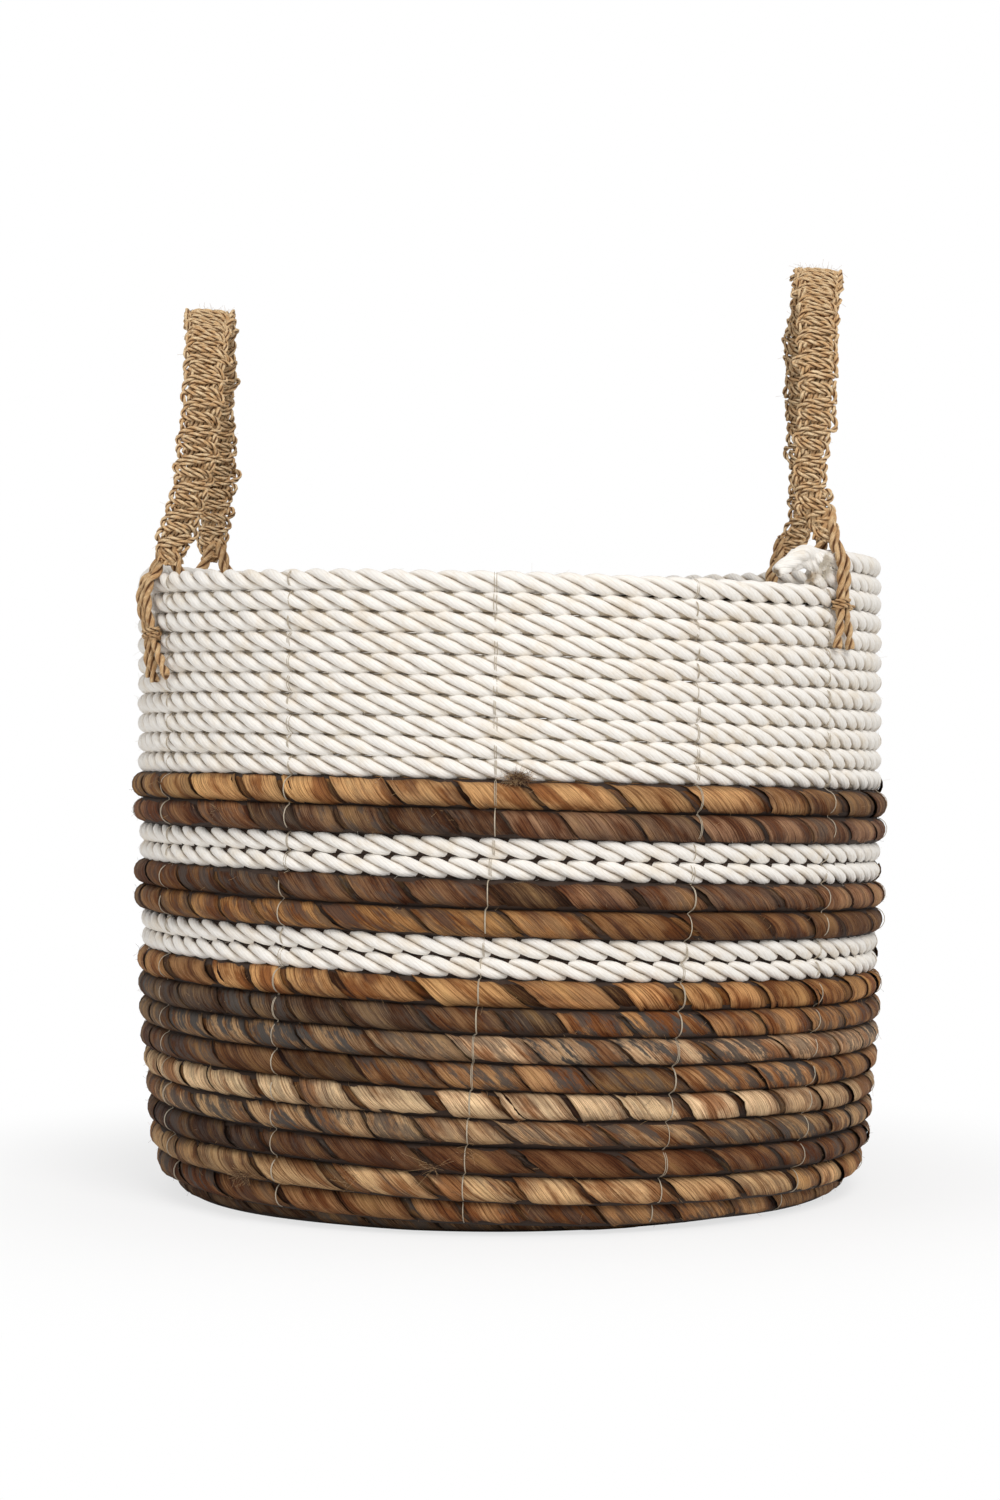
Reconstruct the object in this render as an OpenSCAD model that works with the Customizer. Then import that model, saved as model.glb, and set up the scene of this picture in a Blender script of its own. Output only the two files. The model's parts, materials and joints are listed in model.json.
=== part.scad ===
// Round coiled laundry basket: white rope and banana bark courses stacked as one
// spiral, a wire frame inside, thread stitches and two knotted jute strap handles.
// The origin is the centre of the underside, +Z is up and -Y is the front.
// Azimuths run from the front towards +X, in degrees.

/* [Basket] */
// Height of the rim at the front
rim_height = 349; // [300:1:400]
// Inside radius at the rim
inner_r = 211.5; // [190:0.5:235]
// How much the inside radius shrinks from the rim to the bottom corner
wall_taper = 11; // [4:0.5:16]
// Radius of the coil's centre line round the bottom corner
corner_r = 27; // [24:1:34]
// How far the back of the rim stands above its front
back_rise = 16; // [0:1:22]

/* [Courses] */
// Diameter of the white rope
rope_d = 10.5; // [9.5:0.1:11]
// Diameter of a course wrapped in banana bark
bark_d = 14.3; // [13:0.1:15]
// Air left between two courses
course_gap = 0.35; // [0.3:0.05:0.8]
// Extra spacing of the courses that turn under at the bottom corner
corner_ease = 0.7; // [0.6:0.1:1]
// Depth of the flat on the underside of the base coil
base_flat = 1; // [0.6:0.1:1.6]
// Azimuth where the rope coil ends in a fold
fold_azimuth = 50; // [46:1:51]
// Azimuth where the folded back rope ends
tail_azimuth = -86; // [-92:1:-82]

/* [Frame and stitches] */
// Number of uprights, each with a column of stitches
upright_count = 13; // [9:1:16]
// Azimuth of the first upright
upright_azimuth = -3.2; // [-4:0.1:-2.5]
// Diameter of the frame wire
wire_d = 3; // [2.5:0.5:4]
// Diameter of the thread
thread_d = 0.9; // [0.6:0.1:1]
// Radius of the ring at the middle of the base
hub_r = 32; // [26:1:40]

/* [Handles] */
// Width of the knotted strap
strap_w = 27; // [22:1:30]
// Thickness of the knotted strap
strap_t = 12; // [11:0.5:13]
// Diameter of the cord bundle inside the strap
core_d = 7; // [6:0.5:8]
// Diameter of the lashing cords
lash_d = 5.2; // [4.5:0.1:5.5]
// Diameter of the cord wound round each lashing
bind_d = 3; // [2.5:0.1:3.2]
// Diameter of the rounded end of the cord bundle
knuckle_d = 11; // [10:0.5:12]
// Clearance between a handle's knuckle and the lashing it rests in
knuckle_gap = 0.4; // [0.3:0.1:0.6]
// Height of the left strap's centre line at its top
left_top = 521; // [500:1:540]
// Height of the right strap's centre line at its top
right_top = 544; // [525:1:560]
// Inward lean of the left strap
left_lean = 4; // [0:0.5:8]
// Outward lean of the right strap
right_lean = 3.5; // [0:0.5:8]

/* [Hidden] */
$fn = 48;
SMALL_FN = 24;
// Courses from the rim down, material and number of turns, above the last bark ones
BANDS = [["rope", 10], ["bark", 2], ["rope", 2], ["bark", 2], ["rope", 2]];
KINDS = [for (band = BANDS) for (k = [1:band[1]]) band[0]];
// The turn's drop grows from one rope to one bark course between these courses
DROP_FIRST = 10;
DROP_LAST = 18;
// Angle left open at each end of a half turn, and how much slimmer its joints are
JOINT = 0.1;
WAIST = 0.6;
// Angle by which the rounded end stands out of the folded rope's tail
TAIL_CAP = 0.5;
// How much smaller the knob of the fold is than its two ropes
END_TRIM = 1.1;
// Height above the corner, in courses, from which the coil's turns are eased
EASE_FROM = 1.5;
// Exponent of the wall's barrel shape
BARREL = 3.2;
// Feet of the handles: [azimuth of the front foot, azimuth of the back foot]
LEFT_FEET = [-63, -120];
RIGHT_FEET = [55, 125];
// Lengths of the lashing below the rim: legs outside, ends inside, splayed tails
LASH_DROP = 33;
LASH_TUCK = 6;
TAIL_LENGTH = 26;
TAIL_SPLAY = 22;
BIND_TURNS = 3;
// Height of the bare neck between a knuckle's centre and the strap
NECK = 12;
// Half of the angle that a stitch covers round a course
STITCH_REACH = 58;
STITCH_AIR = 0.1;
// Air between the wire frame and the courses
WIRE_AIR = 0.3;
// Depth of the frame's top ring below the rim
RING_DEPTH = 12;
BASE_NODES = 4;
UNDER = 40;

rope_color = "#e9e4d8";
bark_color = "#7a5636";
jute_color = "#b98b4e";
wire_color = "#4a4340";
thread_color = "#d9cba8";

base_z = bark_d / 2 - base_flat;
corner_z = base_z + corner_r;

function kind(i) = i <= len(KINDS) ? KINDS[i - 1] : "bark";
function course_d(i) = kind(i) == "rope" ? rope_d : bark_d;

// Height of course i above the corner, before and after the corner's courses are eased
drop_top = rope_d + course_gap;
drop_low = bark_d + course_gap;
corner_len = corner_r * PI / 2;
first_s = rim_height - rope_d / 2 + drop_top / 2 - corner_z;
function plain_pitch(i) = (course_d(i) + course_d(i + 1)) / 2 + course_gap;
function plain_s(i) = i <= 1 ? first_s : plain_s(i - 1) - plain_pitch(i - 1);
function eased(i) = plain_s(i) < EASE_FROM * bark_d && plain_s(i) > -corner_len ? corner_ease : 0;
function left_s(i) = i <= 1 ? first_s : left_s(i - 1) - plain_pitch(i - 1) - eased(i - 1);

// The wall's courses end where the coil has turned under and lies flat
function wall_last(i = len(KINDS)) = left_s(i + 1) > drop_low / 2 - corner_len ? wall_last(i + 1) : i;
WALL_COUNT = wall_last();

// Drop of course i over its front half
function clamp01(t) = min(1, max(0, t));
function drop(i) = drop_top + (drop_low - drop_top)
    * clamp01((i - DROP_FIRST) / (DROP_LAST - DROP_FIRST)) + eased(i);

// Inside radius of the wall at height z
function inside_r(z) = inner_r
    - wall_taper * pow(clamp01((rim_height - z) / (rim_height - corner_z)), BARREL);

// Centre line of a course of diameter d, [radius, height], at s above the corner
corner_x = inside_r(corner_z) + bark_d / 2 - corner_r;
function corner_angle(s) = -s / corner_r * 180 / PI;
function profile(s, d) =
    s >= 0 ? [inside_r(corner_z + s) + d / 2, corner_z + s] :
    s >= -corner_len ? [corner_x + corner_r * cos(corner_angle(s)),
                        corner_z - corner_r * sin(corner_angle(s))] :
    [corner_x + s + corner_len, base_z];

// The turns of the base are spread so that the coil's start lies at the middle
FIRST_BASE = WALL_COUNT + 1;
base_reach = profile(left_s(FIRST_BASE), bark_d)[0];
base_turns = floor(base_reach / drop_low);
BASE_LAST = WALL_COUNT + base_turns;
function base_end(i) = [base_reach * (BASE_LAST + 1 - i) / base_turns, base_z];

function left_end(i) = i > WALL_COUNT ? base_end(i) : profile(left_s(i), course_d(i));
function right_end(i) = i > WALL_COUNT ? base_end(i + 1) :
    let (end = profile(left_s(i) - drop(i), course_d(i)))
    [end[0], max(end[1], bark_d / 2)];

// The back of the top courses is raised, which tilts them about the limbs
function rise(i) = back_rise * clamp01((DROP_FIRST + 1 - i) / DROP_FIRST);
function tilt(i) = asin(rise(i) / (2 * left_end(i)[0]));
function lift(i) = rise(i) / 2;

// Height of course i's centre line at azimuth az, where rim course 0 lies on course 1
function front_z(i, az) = (left_end(i)[1] + right_end(i)[1]) / 2 + lift(i)
    - (left_end(i)[1] - right_end(i)[1]) / 2 * sin(az) - rise(i) / 2 * cos(az);
function back_z(i, az) = left_end(i)[1] + lift(i) - rise(i) / 2 * cos(az);
function on_fold(az) = az > fold_azimuth || az < tail_azimuth;
function top_z(az) = (az > fold_azimuth || az < -90 ? back_z(1, az) : front_z(1, az))
    + (on_fold(az) ? rope_d + course_gap : 0);

// Frame of half a turn from limb to limb, left and right being [radius, height]
module on_half_turn(left, right, x_tilt) {
    translate([(right[0] - left[0]) / 2, 0, (right[1] + left[1]) / 2])
        rotate([0, -atan2(right[1] - left[1], right[0] + left[0]), 0])
            rotate([x_tilt, 0, 0])
                children();
}

function half_radius(left, right) = norm([right[0] + left[0], right[1] - left[1]]) / 2;

// extra lengthens the back half past the right limb, in degrees
module half_turn(left, right, d, x_tilt, back, extra = 0) {
    on_half_turn(left, right, x_tilt)
        rotate_extrude(angle = 180 + extra - 2 * JOINT, start = (back ? -extra : 180) + JOINT)
            translate([half_radius(left, right), 0])
                circle(d = d);
}

// One turn: level round the back, then stepping down across the front
module turn(i, extra = 0) {
    left = left_end(i) + [0, lift(i)];
    right = right_end(i) + [0, lift(i)];
    half_turn(left, left, course_d(i), tilt(i), true, extra);
    half_turn(left, right, course_d(i), tilt(i), false);
    translate([-left[0], 0, left[1]])
        sphere(d = course_d(i) - WAIST);
}

module above_floor() {
    difference() {
        children();
        translate([-300, -300, -UNDER])
            cube([600, 600, UNDER]);
    }
}

module wall_course(i) {
    color(kind(i) == "rope" ? rope_color : bark_color)
        turn(i, i == 1 ? 90 - fold_azimuth : 0);
}

// The rope folds back on itself and lies on the first course until its tail
module rope_fold_course() {
    radius = left_end(1)[0];
    color(rope_color)
        translate([0, 0, left_end(1)[1] + lift(1) + rope_d + course_gap])
            rotate([tilt(1), 0, 0]) {
                rotate_extrude(angle = 360 - fold_azimuth + tail_azimuth, start = fold_azimuth - 90)
                    translate([radius, 0])
                        circle(d = rope_d);
                rotate([0, 0, tail_azimuth - 90 + TAIL_CAP])
                    translate([radius, 0, 0])
                        sphere(d = rope_d - WAIST);
            }
}

// Knob of frayed rope where the coil turns back, standing against its two cut ends
module rope_fold_end() {
    color(rope_color)
        translate([0, 0, (left_end(1)[1] + lift(1)) + (rope_d + course_gap) / 2])
            rotate([tilt(1), 0, 0])
                rotate([0, 0, fold_azimuth - 90])
                    translate([left_end(1)[0], 0, 0])
                        rotate([0, 90, 0])
                            difference() {
                                cylinder(r = rope_d - END_TRIM, h = rope_d, center = true);
                                translate([-UNDER, 0, -UNDER])
                                    cube(2 * UNDER);
                            }
}

// The coil runs in across the base to its start at the middle
GROUP_TURNS = floor(base_turns / BASE_NODES);

module base_coil(group) {
    first = FIRST_BASE + (group - 1) * GROUP_TURNS;
    last = group == BASE_NODES ? BASE_LAST : first + GROUP_TURNS - 1;
    color(bark_color)
        above_floor() {
            for (i = [first:last]) {
                turn(i);
                if (i < last || last == BASE_LAST)
                    translate([right_end(i)[0], 0, base_z])
                        sphere(d = bark_d - WAIST);
            }
        }
}

upright_azimuths = [for (k = [0:upright_count - 1]) upright_azimuth + k * 360 / upright_count];

// The wire turns the corner inside the coil, clear of where its courses cut the curve
corner_sag = corner_r * (1 - cos((drop_low + corner_ease) / 2 / corner_r * 180 / PI));
wire_corner_r = corner_r - bark_d / 2 - WIRE_AIR - wire_d / 2 - corner_sag;
spoke_z = corner_z - wire_corner_r;
function wire_x(z) = z <= corner_z ? corner_x + wire_corner_r : inside_r(z) - WIRE_AIR - wire_d / 2;
function ring_z(az) = rim_height - RING_DEPTH + back_rise / 2 * (1 - cos(az));

// Straight wire between two points of a vertical plane, [radius, height] each
module wire(a, b) {
    translate([a[0], 0, a[1]])
        rotate([0, atan2(b[0] - a[0], b[1] - a[1]), 0])
            cylinder(d = wire_d, h = norm(b - a), $fn = SMALL_FN);
}

weld_d = wire_d + WAIST;

module upright(az) {
    top = ring_z(az) - wire_d / 2;
    heights = [corner_z, corner_z + 40, corner_z + 90, corner_z + 150, top];
    rotate([0, 0, az - 90]) {
        for (k = [1:4]) {
            wire([wire_x(heights[k - 1]), heights[k - 1]], [wire_x(heights[k]), heights[k]]);
            if (k < 4)
                translate([wire_x(heights[k]), 0, heights[k]])
                    sphere(d = weld_d, $fn = SMALL_FN);
        }
        translate([wire_x(corner_z), 0, corner_z])
            sphere(d = weld_d, $fn = SMALL_FN);
        translate([corner_x, 0, corner_z])
            rotate([90, 0, 0])
                rotate_extrude(angle = 90, start = 270)
                    translate([wire_corner_r, 0])
                        circle(d = wire_d, $fn = SMALL_FN);
        translate([hub_r + wire_d / 2, 0, spoke_z])
            rotate([0, 90, 0])
                cylinder(d = wire_d, h = corner_x - hub_r - wire_d / 2, $fn = SMALL_FN);
    }
}

module frame_uprights() {
    color(wire_color)
        for (az = upright_azimuths)
            upright(az);
}

module frame_top_ring() {
    color(wire_color)
        translate([0, 0, ring_z(90)])
            rotate([asin(back_rise / 2 / wire_x(rim_height)), 0, 0])
                rotate_extrude()
                    translate([wire_x(rim_height), 0])
                        circle(d = wire_d, $fn = SMALL_FN);
}

module frame_hub_ring() {
    color(wire_color)
        translate([0, 0, spoke_z])
            rotate_extrude()
                translate([hub_r, 0])
                    circle(d = wire_d, $fn = SMALL_FN);
}

// Short arc of thread that hugs the outside of a course
module stitch(d, reach) {
    rotate([90, 0, 0])
        rotate_extrude(angle = 2 * reach, start = -reach)
            translate([(d + thread_d) / 2 + STITCH_AIR, 0])
                circle(d = thread_d, $fn = SMALL_FN);
}

function wrap180(az) = az > 180 ? az - 360 : az;
function under_lashing(az) =
    min([for (foot = concat(LEFT_FEET, RIGHT_FEET)) abs(wrap180(az) - foot)]) < 8;
LASHED_COURSES = 6;

module wall_stitching() {
    color(thread_color)
        for (az = upright_azimuths, i = [1:WALL_COUNT - 2])
            if (!(i <= LASHED_COURSES && under_lashing(az)))
                let (left = left_end(i) + [0, lift(i)],
                     back = abs(wrap180(az)) > 90,
                     right = back ? left : right_end(i) + [0, lift(i)])
                    on_half_turn(left, right, tilt(i))
                        rotate([0, 0, az - 90])
                            translate([half_radius(left, right), 0, 0])
                                stitch(course_d(i), STITCH_REACH);
}

// Loops of thread that hold the base coil up to the frame's spokes
module base_stitching() {
    color(thread_color)
        for (az = upright_azimuths, i = [FIRST_BASE:BASE_LAST])
            if (left_end(i)[0] > hub_r + bark_d)
                rotate([0, 0, az - 90])
                    translate([left_end(i)[0] - bark_d / 2, 0, spoke_z])
                        rotate([0, 90, 0])
                            rotate_extrude(angle = 180, start = 90)
                                translate([(wire_d + thread_d) / 2 + STITCH_AIR, 0])
                                    circle(d = thread_d, $fn = SMALL_FN);
}

// A lashing's two cords lie side by side over the rim
lash_air = 0.3;
lash_side = (lash_d + lash_air) / 2;
lash_r = (rope_d + lash_d) / 2 + lash_air;
rim_x = left_end(1)[0];
knuckle_rise = lash_r
    + sqrt(pow((knuckle_d + lash_d) / 2 + knuckle_gap, 2) - pow(lash_side, 2));
function foot_pivot(az) =
    [rim_x * sin(az), -rim_x * cos(az), top_z(az) + knuckle_rise];

module at_foot(az) {
    rotate([0, 0, az - 90])
        translate([rim_x, 0, top_z(az)])
            children();
}

module lashing(az) {
    color(jute_color)
        at_foot(az)
            for (side = [-1, 1])
                translate([0, side * lash_side, 0]) {
                    rotate([90, 0, 0])
                        rotate_extrude(angle = 180)
                            translate([lash_r, 0])
                                circle(d = lash_d, $fn = SMALL_FN);
                    translate([-lash_r, 0, -LASH_TUCK])
                        cylinder(d = lash_d, h = LASH_TUCK, $fn = SMALL_FN);
                    translate([lash_r, 0, -LASH_DROP])
                        cylinder(d = lash_d, h = LASH_DROP, $fn = SMALL_FN);
                    translate([lash_r, 0, lash_d / 2 - LASH_DROP])
                        rotate([side * TAIL_SPLAY, 0, 0])
                            translate([0, 0, -TAIL_LENGTH])
                                cylinder(d = lash_d - WAIST, h = TAIL_LENGTH, $fn = SMALL_FN);
                }
}

// Outline round a lashing's two cords, grown by margin
module lash_outline(margin) {
    d = lash_d + 2 * margin;
    square([d, 2 * lash_side], center = true);
    for (side = [-1, 1])
        translate([0, side * lash_side])
            circle(d = d, $fn = SMALL_FN);
}

// Turns of cord that bind the two cords, each let into the wall's groove at its ends
module binding(az) {
    air = lash_air / 2;
    color(jute_color)
        at_foot(az)
            translate([lash_r, 0, lash_d / 2 - LASH_DROP])
                for (k = [0:BIND_TURNS - 1])
                    translate([0, 0, k * (bind_d + air)])
                        difference() {
                            linear_extrude(height = bind_d)
                                lash_outline(bind_d + air);
                            translate([0, 0, -1])
                                linear_extrude(height = bind_d + 2)
                                    lash_outline(air);
                            translate([-UNDER - lash_d / 2 + air, -UNDER / 2, -1])
                                cube([UNDER, UNDER, bind_d + 2]);
                        }
}

// Frame of a strap: origin at its front pivot, +Y towards the back one
module on_strap(feet, lean) {
    front = foot_pivot(feet[0]);
    back = foot_pivot(feet[1]);
    along = norm([back[0] - front[0], back[1] - front[1]]);
    translate(front)
        rotate([0, 0, atan2(back[1] - front[1], back[0] - front[0]) - 90])
            rotate(a = lean, v = [0, along, back[2] - front[2]])
                children();
}

function strap_span(feet) = let (step = foot_pivot(feet[1]) - foot_pivot(feet[0]))
    norm([step[0], step[1]]);
function strap_step(feet) = foot_pivot(feet[1])[2] - foot_pivot(feet[0])[2];
function leg_top(feet, top) = top - foot_pivot(feet[0])[2] - strap_span(feet) / 2;

// Frame at the centre of the arch's half round top
module on_arch(feet, top) {
    translate([0, strap_span(feet) / 2, leg_top(feet, top)])
        children();
}

module arch_top(feet) {
    rotate([90, 0, 90])
        rotate_extrude(angle = 180)
            translate([strap_span(feet) / 2, 0])
                children();
}

// Legs below the arch's top, each ending margin above its foot's pivot
module arch_legs(feet, top, margin) {
    for (foot = [[-1, 0], [1, strap_step(feet)]]) {
        length = leg_top(feet, top) - foot[1] - margin;
        translate([0, foot[0] * strap_span(feet) / 2, -length])
            linear_extrude(height = length)
                rotate([0, 0, 90])
                    children();
    }
}

module handle_core(feet, top, lean) {
    color(jute_color)
        on_strap(feet, lean) {
            on_arch(feet, top) {
                arch_legs(feet, top, 0) circle(d = core_d, $fn = SMALL_FN);
                arch_top(feet) circle(d = core_d, $fn = SMALL_FN);
            }
            for (foot = [[0, 0], [strap_span(feet), strap_step(feet)]])
                translate([0, foot[0], foot[1]])
                    sphere(d = knuckle_d);
        }
}

// Section of the knotted strap, hollow where the core runs, as [thickness, width]
module strap_section() {
    difference() {
        union() {
            square([strap_t, strap_w - strap_t], center = true);
            for (side = [-1, 1])
                translate([0, side * (strap_w - strap_t) / 2])
                    circle(d = strap_t, $fn = SMALL_FN);
        }
        circle(d = core_d + lash_air, $fn = SMALL_FN);
    }
}

module handle_strap(feet, top, lean) {
    color(jute_color)
        on_strap(feet, lean)
            on_arch(feet, top) {
                arch_legs(feet, top, NECK) strap_section();
                arch_top(feet) strap_section();
            }
}

function two_digits(i) = str(i < 10 ? "0" : "", i);
function course_name(i) = str(kind(i), "_course_", two_digits(i));
function base_name(group) = str("base_coil_", group);

for (i = [1:WALL_COUNT])
    wall_course(i);
for (group = [1:BASE_NODES])
    base_coil(group);
rope_fold_course();
rope_fold_end();
frame_uprights();
frame_top_ring();
frame_hub_ring();
wall_stitching();
base_stitching();
handle_core(LEFT_FEET, left_top, left_lean);  // left_handle_core
handle_strap(LEFT_FEET, left_top, left_lean);  // left_handle_strap
handle_core(RIGHT_FEET, right_top, right_lean);  // right_handle_core
handle_strap(RIGHT_FEET, right_top, right_lean);  // right_handle_strap
lashing(LEFT_FEET[0]);  // left_front_lashing
lashing(LEFT_FEET[1]);  // left_back_lashing
lashing(RIGHT_FEET[0]);  // right_front_lashing
lashing(RIGHT_FEET[1]);  // right_back_lashing
binding(LEFT_FEET[0]);  // left_front_binding
binding(LEFT_FEET[1]);  // left_back_binding
binding(RIGHT_FEET[0]);  // right_front_binding
binding(RIGHT_FEET[1]);  // right_back_binding
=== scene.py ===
"""Finish of a coiled laundry basket: twisted rope, wrapped banana bark and knotted jute."""
import json
import math

import bpy
import numpy as np
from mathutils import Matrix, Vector


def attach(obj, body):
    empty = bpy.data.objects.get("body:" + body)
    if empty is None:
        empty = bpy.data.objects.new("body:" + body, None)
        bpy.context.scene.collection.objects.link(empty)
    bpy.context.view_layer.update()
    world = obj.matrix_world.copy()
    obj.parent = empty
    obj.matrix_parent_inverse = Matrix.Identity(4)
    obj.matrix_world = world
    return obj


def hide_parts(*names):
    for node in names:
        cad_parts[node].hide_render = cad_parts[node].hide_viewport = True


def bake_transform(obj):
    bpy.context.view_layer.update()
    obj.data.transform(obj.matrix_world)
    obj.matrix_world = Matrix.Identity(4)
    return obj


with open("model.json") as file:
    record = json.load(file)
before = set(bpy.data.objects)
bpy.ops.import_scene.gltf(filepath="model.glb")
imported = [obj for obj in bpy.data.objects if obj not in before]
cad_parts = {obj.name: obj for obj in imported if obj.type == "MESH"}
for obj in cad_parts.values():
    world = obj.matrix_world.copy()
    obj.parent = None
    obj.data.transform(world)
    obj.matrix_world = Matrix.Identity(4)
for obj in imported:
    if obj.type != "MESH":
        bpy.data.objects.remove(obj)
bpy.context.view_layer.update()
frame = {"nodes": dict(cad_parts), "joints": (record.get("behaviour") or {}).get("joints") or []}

bl_info = {
    "name": "Coiled laundry basket",
    "version": (1, 0, 0),
    "blender": (4, 5, 0),
    "location": "View3D > Sidebar > Basket",
    "description": "Dresses a basket frame in rope, banana bark and knotted jute",
    "category": "Object",
}

MM = 0.001
TURN = 2 * math.pi
UP = np.array([0, 0, 1.0])
# Least height over the floor of the coil and of loose fibres
CLEAR = 0.3 * MM
HAIR_CLEAR = 0.4 * MM
WALL_NODES = sorted(
    (n for n in frame["nodes"] if "_course_" in n and n[-2:].isdigit()),
    key=lambda n: int(n[-2:]),
)
BASE_NODES = sorted(n for n in frame["nodes"] if n.startswith("base_coil"))


# ---------------------------------------------------------------- sizes and colours


def length(name, description, default):
    return bpy.props.FloatProperty(
        name=name, description=description, default=default,
        min=0.0, precision=5, subtype="DISTANCE", unit="LENGTH",
    )


def number(name, description, default):
    return bpy.props.FloatProperty(name=name, description=description, default=default)


def count(name, description, default):
    return bpy.props.IntProperty(name=name, description=description, default=default, min=1)


def colour(name, description, code):
    return bpy.props.FloatVectorProperty(
        name=name, description=description, default=linear(code),
        size=3, min=0.0, max=1.0, subtype="COLOR",
    )


def linear(code):
    """Linear red, green and blue of a colour written as six hexadecimal digits."""
    parts = [int(code[k:k + 2], 16) / 255 for k in (0, 2, 4)]
    return tuple(c / 12.92 if c <= 0.04045 else ((c + 0.055) / 1.055) ** 2.4 for c in parts)


class RopeSizes(bpy.types.PropertyGroup):
    """Sizes and colours of the twisted white rope"""
    strands: count("Strands", "Strands laid round each other", 3)
    offset: length("Strand offset", "Distance from the rope's axis to a strand's axis", 3.2 * MM)
    strand_width: length("Strand width", "Diameter of one strand", 5.8 * MM)
    lay: length("Lay", "Length in which a strand goes once round", 46.1 * MM)
    step: length("Step", "Length between two rings of a strand", 2.4 * MM)
    crest: colour("Crest", "Colour of the strands' crests", "efebe5")
    # Painted shade: the darker colour that the rope's material lays between the strands, where they
    # fall into shade
    painted_crevice_shade: colour("Crevice", "Colour between the strands", "a8967f")


class BarkSizes(bpy.types.PropertyGroup):
    """Sizes of the banana bark wrapping"""
    radius: length("Radius", "Radius of the wrapped coil below its edges", 7.2 * MM)
    thickness: length("Thickness", "Thickness of a bark strip", 0.5 * MM)
    turn: length("Turn", "Usual length of coil that one turn of the wrapping takes", 38 * MM)
    lift: length("Edge lift", "Most that a strip's edge stands up", 1.2 * MM)
    recess: length("Recess", "Depth of the second strip between the main strip's turns", 1.1 * MM)


class JuteSizes(bpy.types.PropertyGroup):
    """Sizes of the knotted jute handles"""
    cord: length("Knotting cord", "Diameter of a knotting cord", 3.25 * MM)
    filler: length("Filler cord", "Diameter of a cord inside the strap", 4.0 * MM)
    fillers: count("Filler cords", "Cords side by side inside the strap", 6)
    pitch: length("Half knot", "Length of strap that one half knot takes", 7.9 * MM)
    half_width: length("Half width", "Half of the strap's width at the cords' middle", 12.2 * MM)
    lashing: length("Lashing cord", "Diameter of the cords lashed over the rim", 5.2 * MM)
    binding: length("Binding cord", "Diameter of the cord bound round a lashing", 2.8 * MM)


class ThreadSizes(bpy.types.PropertyGroup):
    """Sizes of the stitches that hold the courses together"""
    width: length("Thread", "Diameter of the thread", 0.42 * MM)
    lean: bpy.props.FloatProperty(
        name="Lean", description="Angle by which a row of stitches moves round per lower course",
        default=math.radians(-0.33), subtype="ANGLE",
    )


class StageSizes(bpy.types.PropertyGroup):
    """Camera, floor and lamps"""
    distance: length("Distance", "Distance from the camera to the basket's axis", 1.575)
    height: length("Height", "Height of the camera", 0.2355)
    aside: length("Aside", "Distance of the camera to the left", 0.0057)
    tilt: bpy.props.FloatProperty(
        name="Tilt", description="Angle by which the camera looks up",
        default=math.radians(0.88), subtype="ANGLE",
    )
    lens: number("Lens", "Focal length in millimetres on a 36 mm sensor", 62.5)
    ambient: number("Ambient", "Strength of the surrounding light", 0.55)
    key: number("Key", "Power of the large lamp above right, in watts", 46.0)
    fill: number("Fill", "Power of the lamp at the left, in watts", 7.0)


PROPERTY_GROUPS = {
    "basket_rope": RopeSizes, "basket_bark": BarkSizes, "basket_jute": JuteSizes,
    "basket_thread": ThreadSizes, "basket_stage": StageSizes,
}


# ---------------------------------------------------------------- small helpers


def wander(seed, count_, cell, size=1.0):
    """Smooth random walk of count_ values about 0, one free knot every cell values."""
    draw = np.random.default_rng(seed)
    knots = draw.uniform(-1, 1, int(count_ / cell) + 3)
    at = np.arange(count_) / cell
    k = at.astype(int)
    t = at - k
    t = t * t * (3 - 2 * t)
    return size * (knots[k] * (1 - t) + knots[k + 1] * t)


def smoothed(values, window):
    """Running average with a raised cosine window, ends held."""
    half = window // 2
    weight = np.hanning(2 * half + 3)[1:-1]
    padded = np.pad(values, half, mode="edge")
    return np.convolve(padded, weight / weight.sum(), mode="valid")


def unit(ways):
    """The same directions with a length of one."""
    ways = np.asarray(ways, float)
    return ways / np.linalg.norm(ways, axis=-1, keepdims=True)


def plane_through(points):
    """Height at the axis and slopes of the plane nearest to points."""
    flat = np.c_[np.ones(len(points)), points[:, :2]]
    return np.linalg.lstsq(flat, points[:, 2], rcond=None)[0]


def run_length(points):
    """Length along a chain of points up to each of them."""
    return np.r_[0, np.cumsum(np.linalg.norm(np.diff(points, axis=0), axis=1))]


def node_points(node):
    """Vertices of a frame node."""
    mesh = frame["nodes"][node].data
    flat = np.empty(len(mesh.vertices) * 3)
    mesh.vertices.foreach_get("co", flat)
    return flat.reshape(-1, 3)


def mesh_object(name, verts, faces, material=None, values=()):
    """Smooth mesh with its own point values: (name, kind, array) each."""
    mesh = bpy.data.meshes.new(name)
    mesh.from_pydata(np.asarray(verts).tolist(), [], faces)
    for key, kind, data in values:
        field = {"FLOAT": "value", "FLOAT_VECTOR": "vector", "FLOAT_COLOR": "color"}[kind]
        attribute_ = mesh.attributes.new(key, kind, "POINT")
        attribute_.data.foreach_set(field, np.ascontiguousarray(data, dtype=np.float32).ravel())
    mesh.shade_smooth()
    if material:
        mesh.materials.append(material)
    return placed(name, mesh)


def placed(name, data):
    """New object of a mesh, lamp or camera, in the scene."""
    obj = bpy.data.objects.new(name, data)
    bpy.context.scene.collection.objects.link(obj)
    return obj


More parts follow.
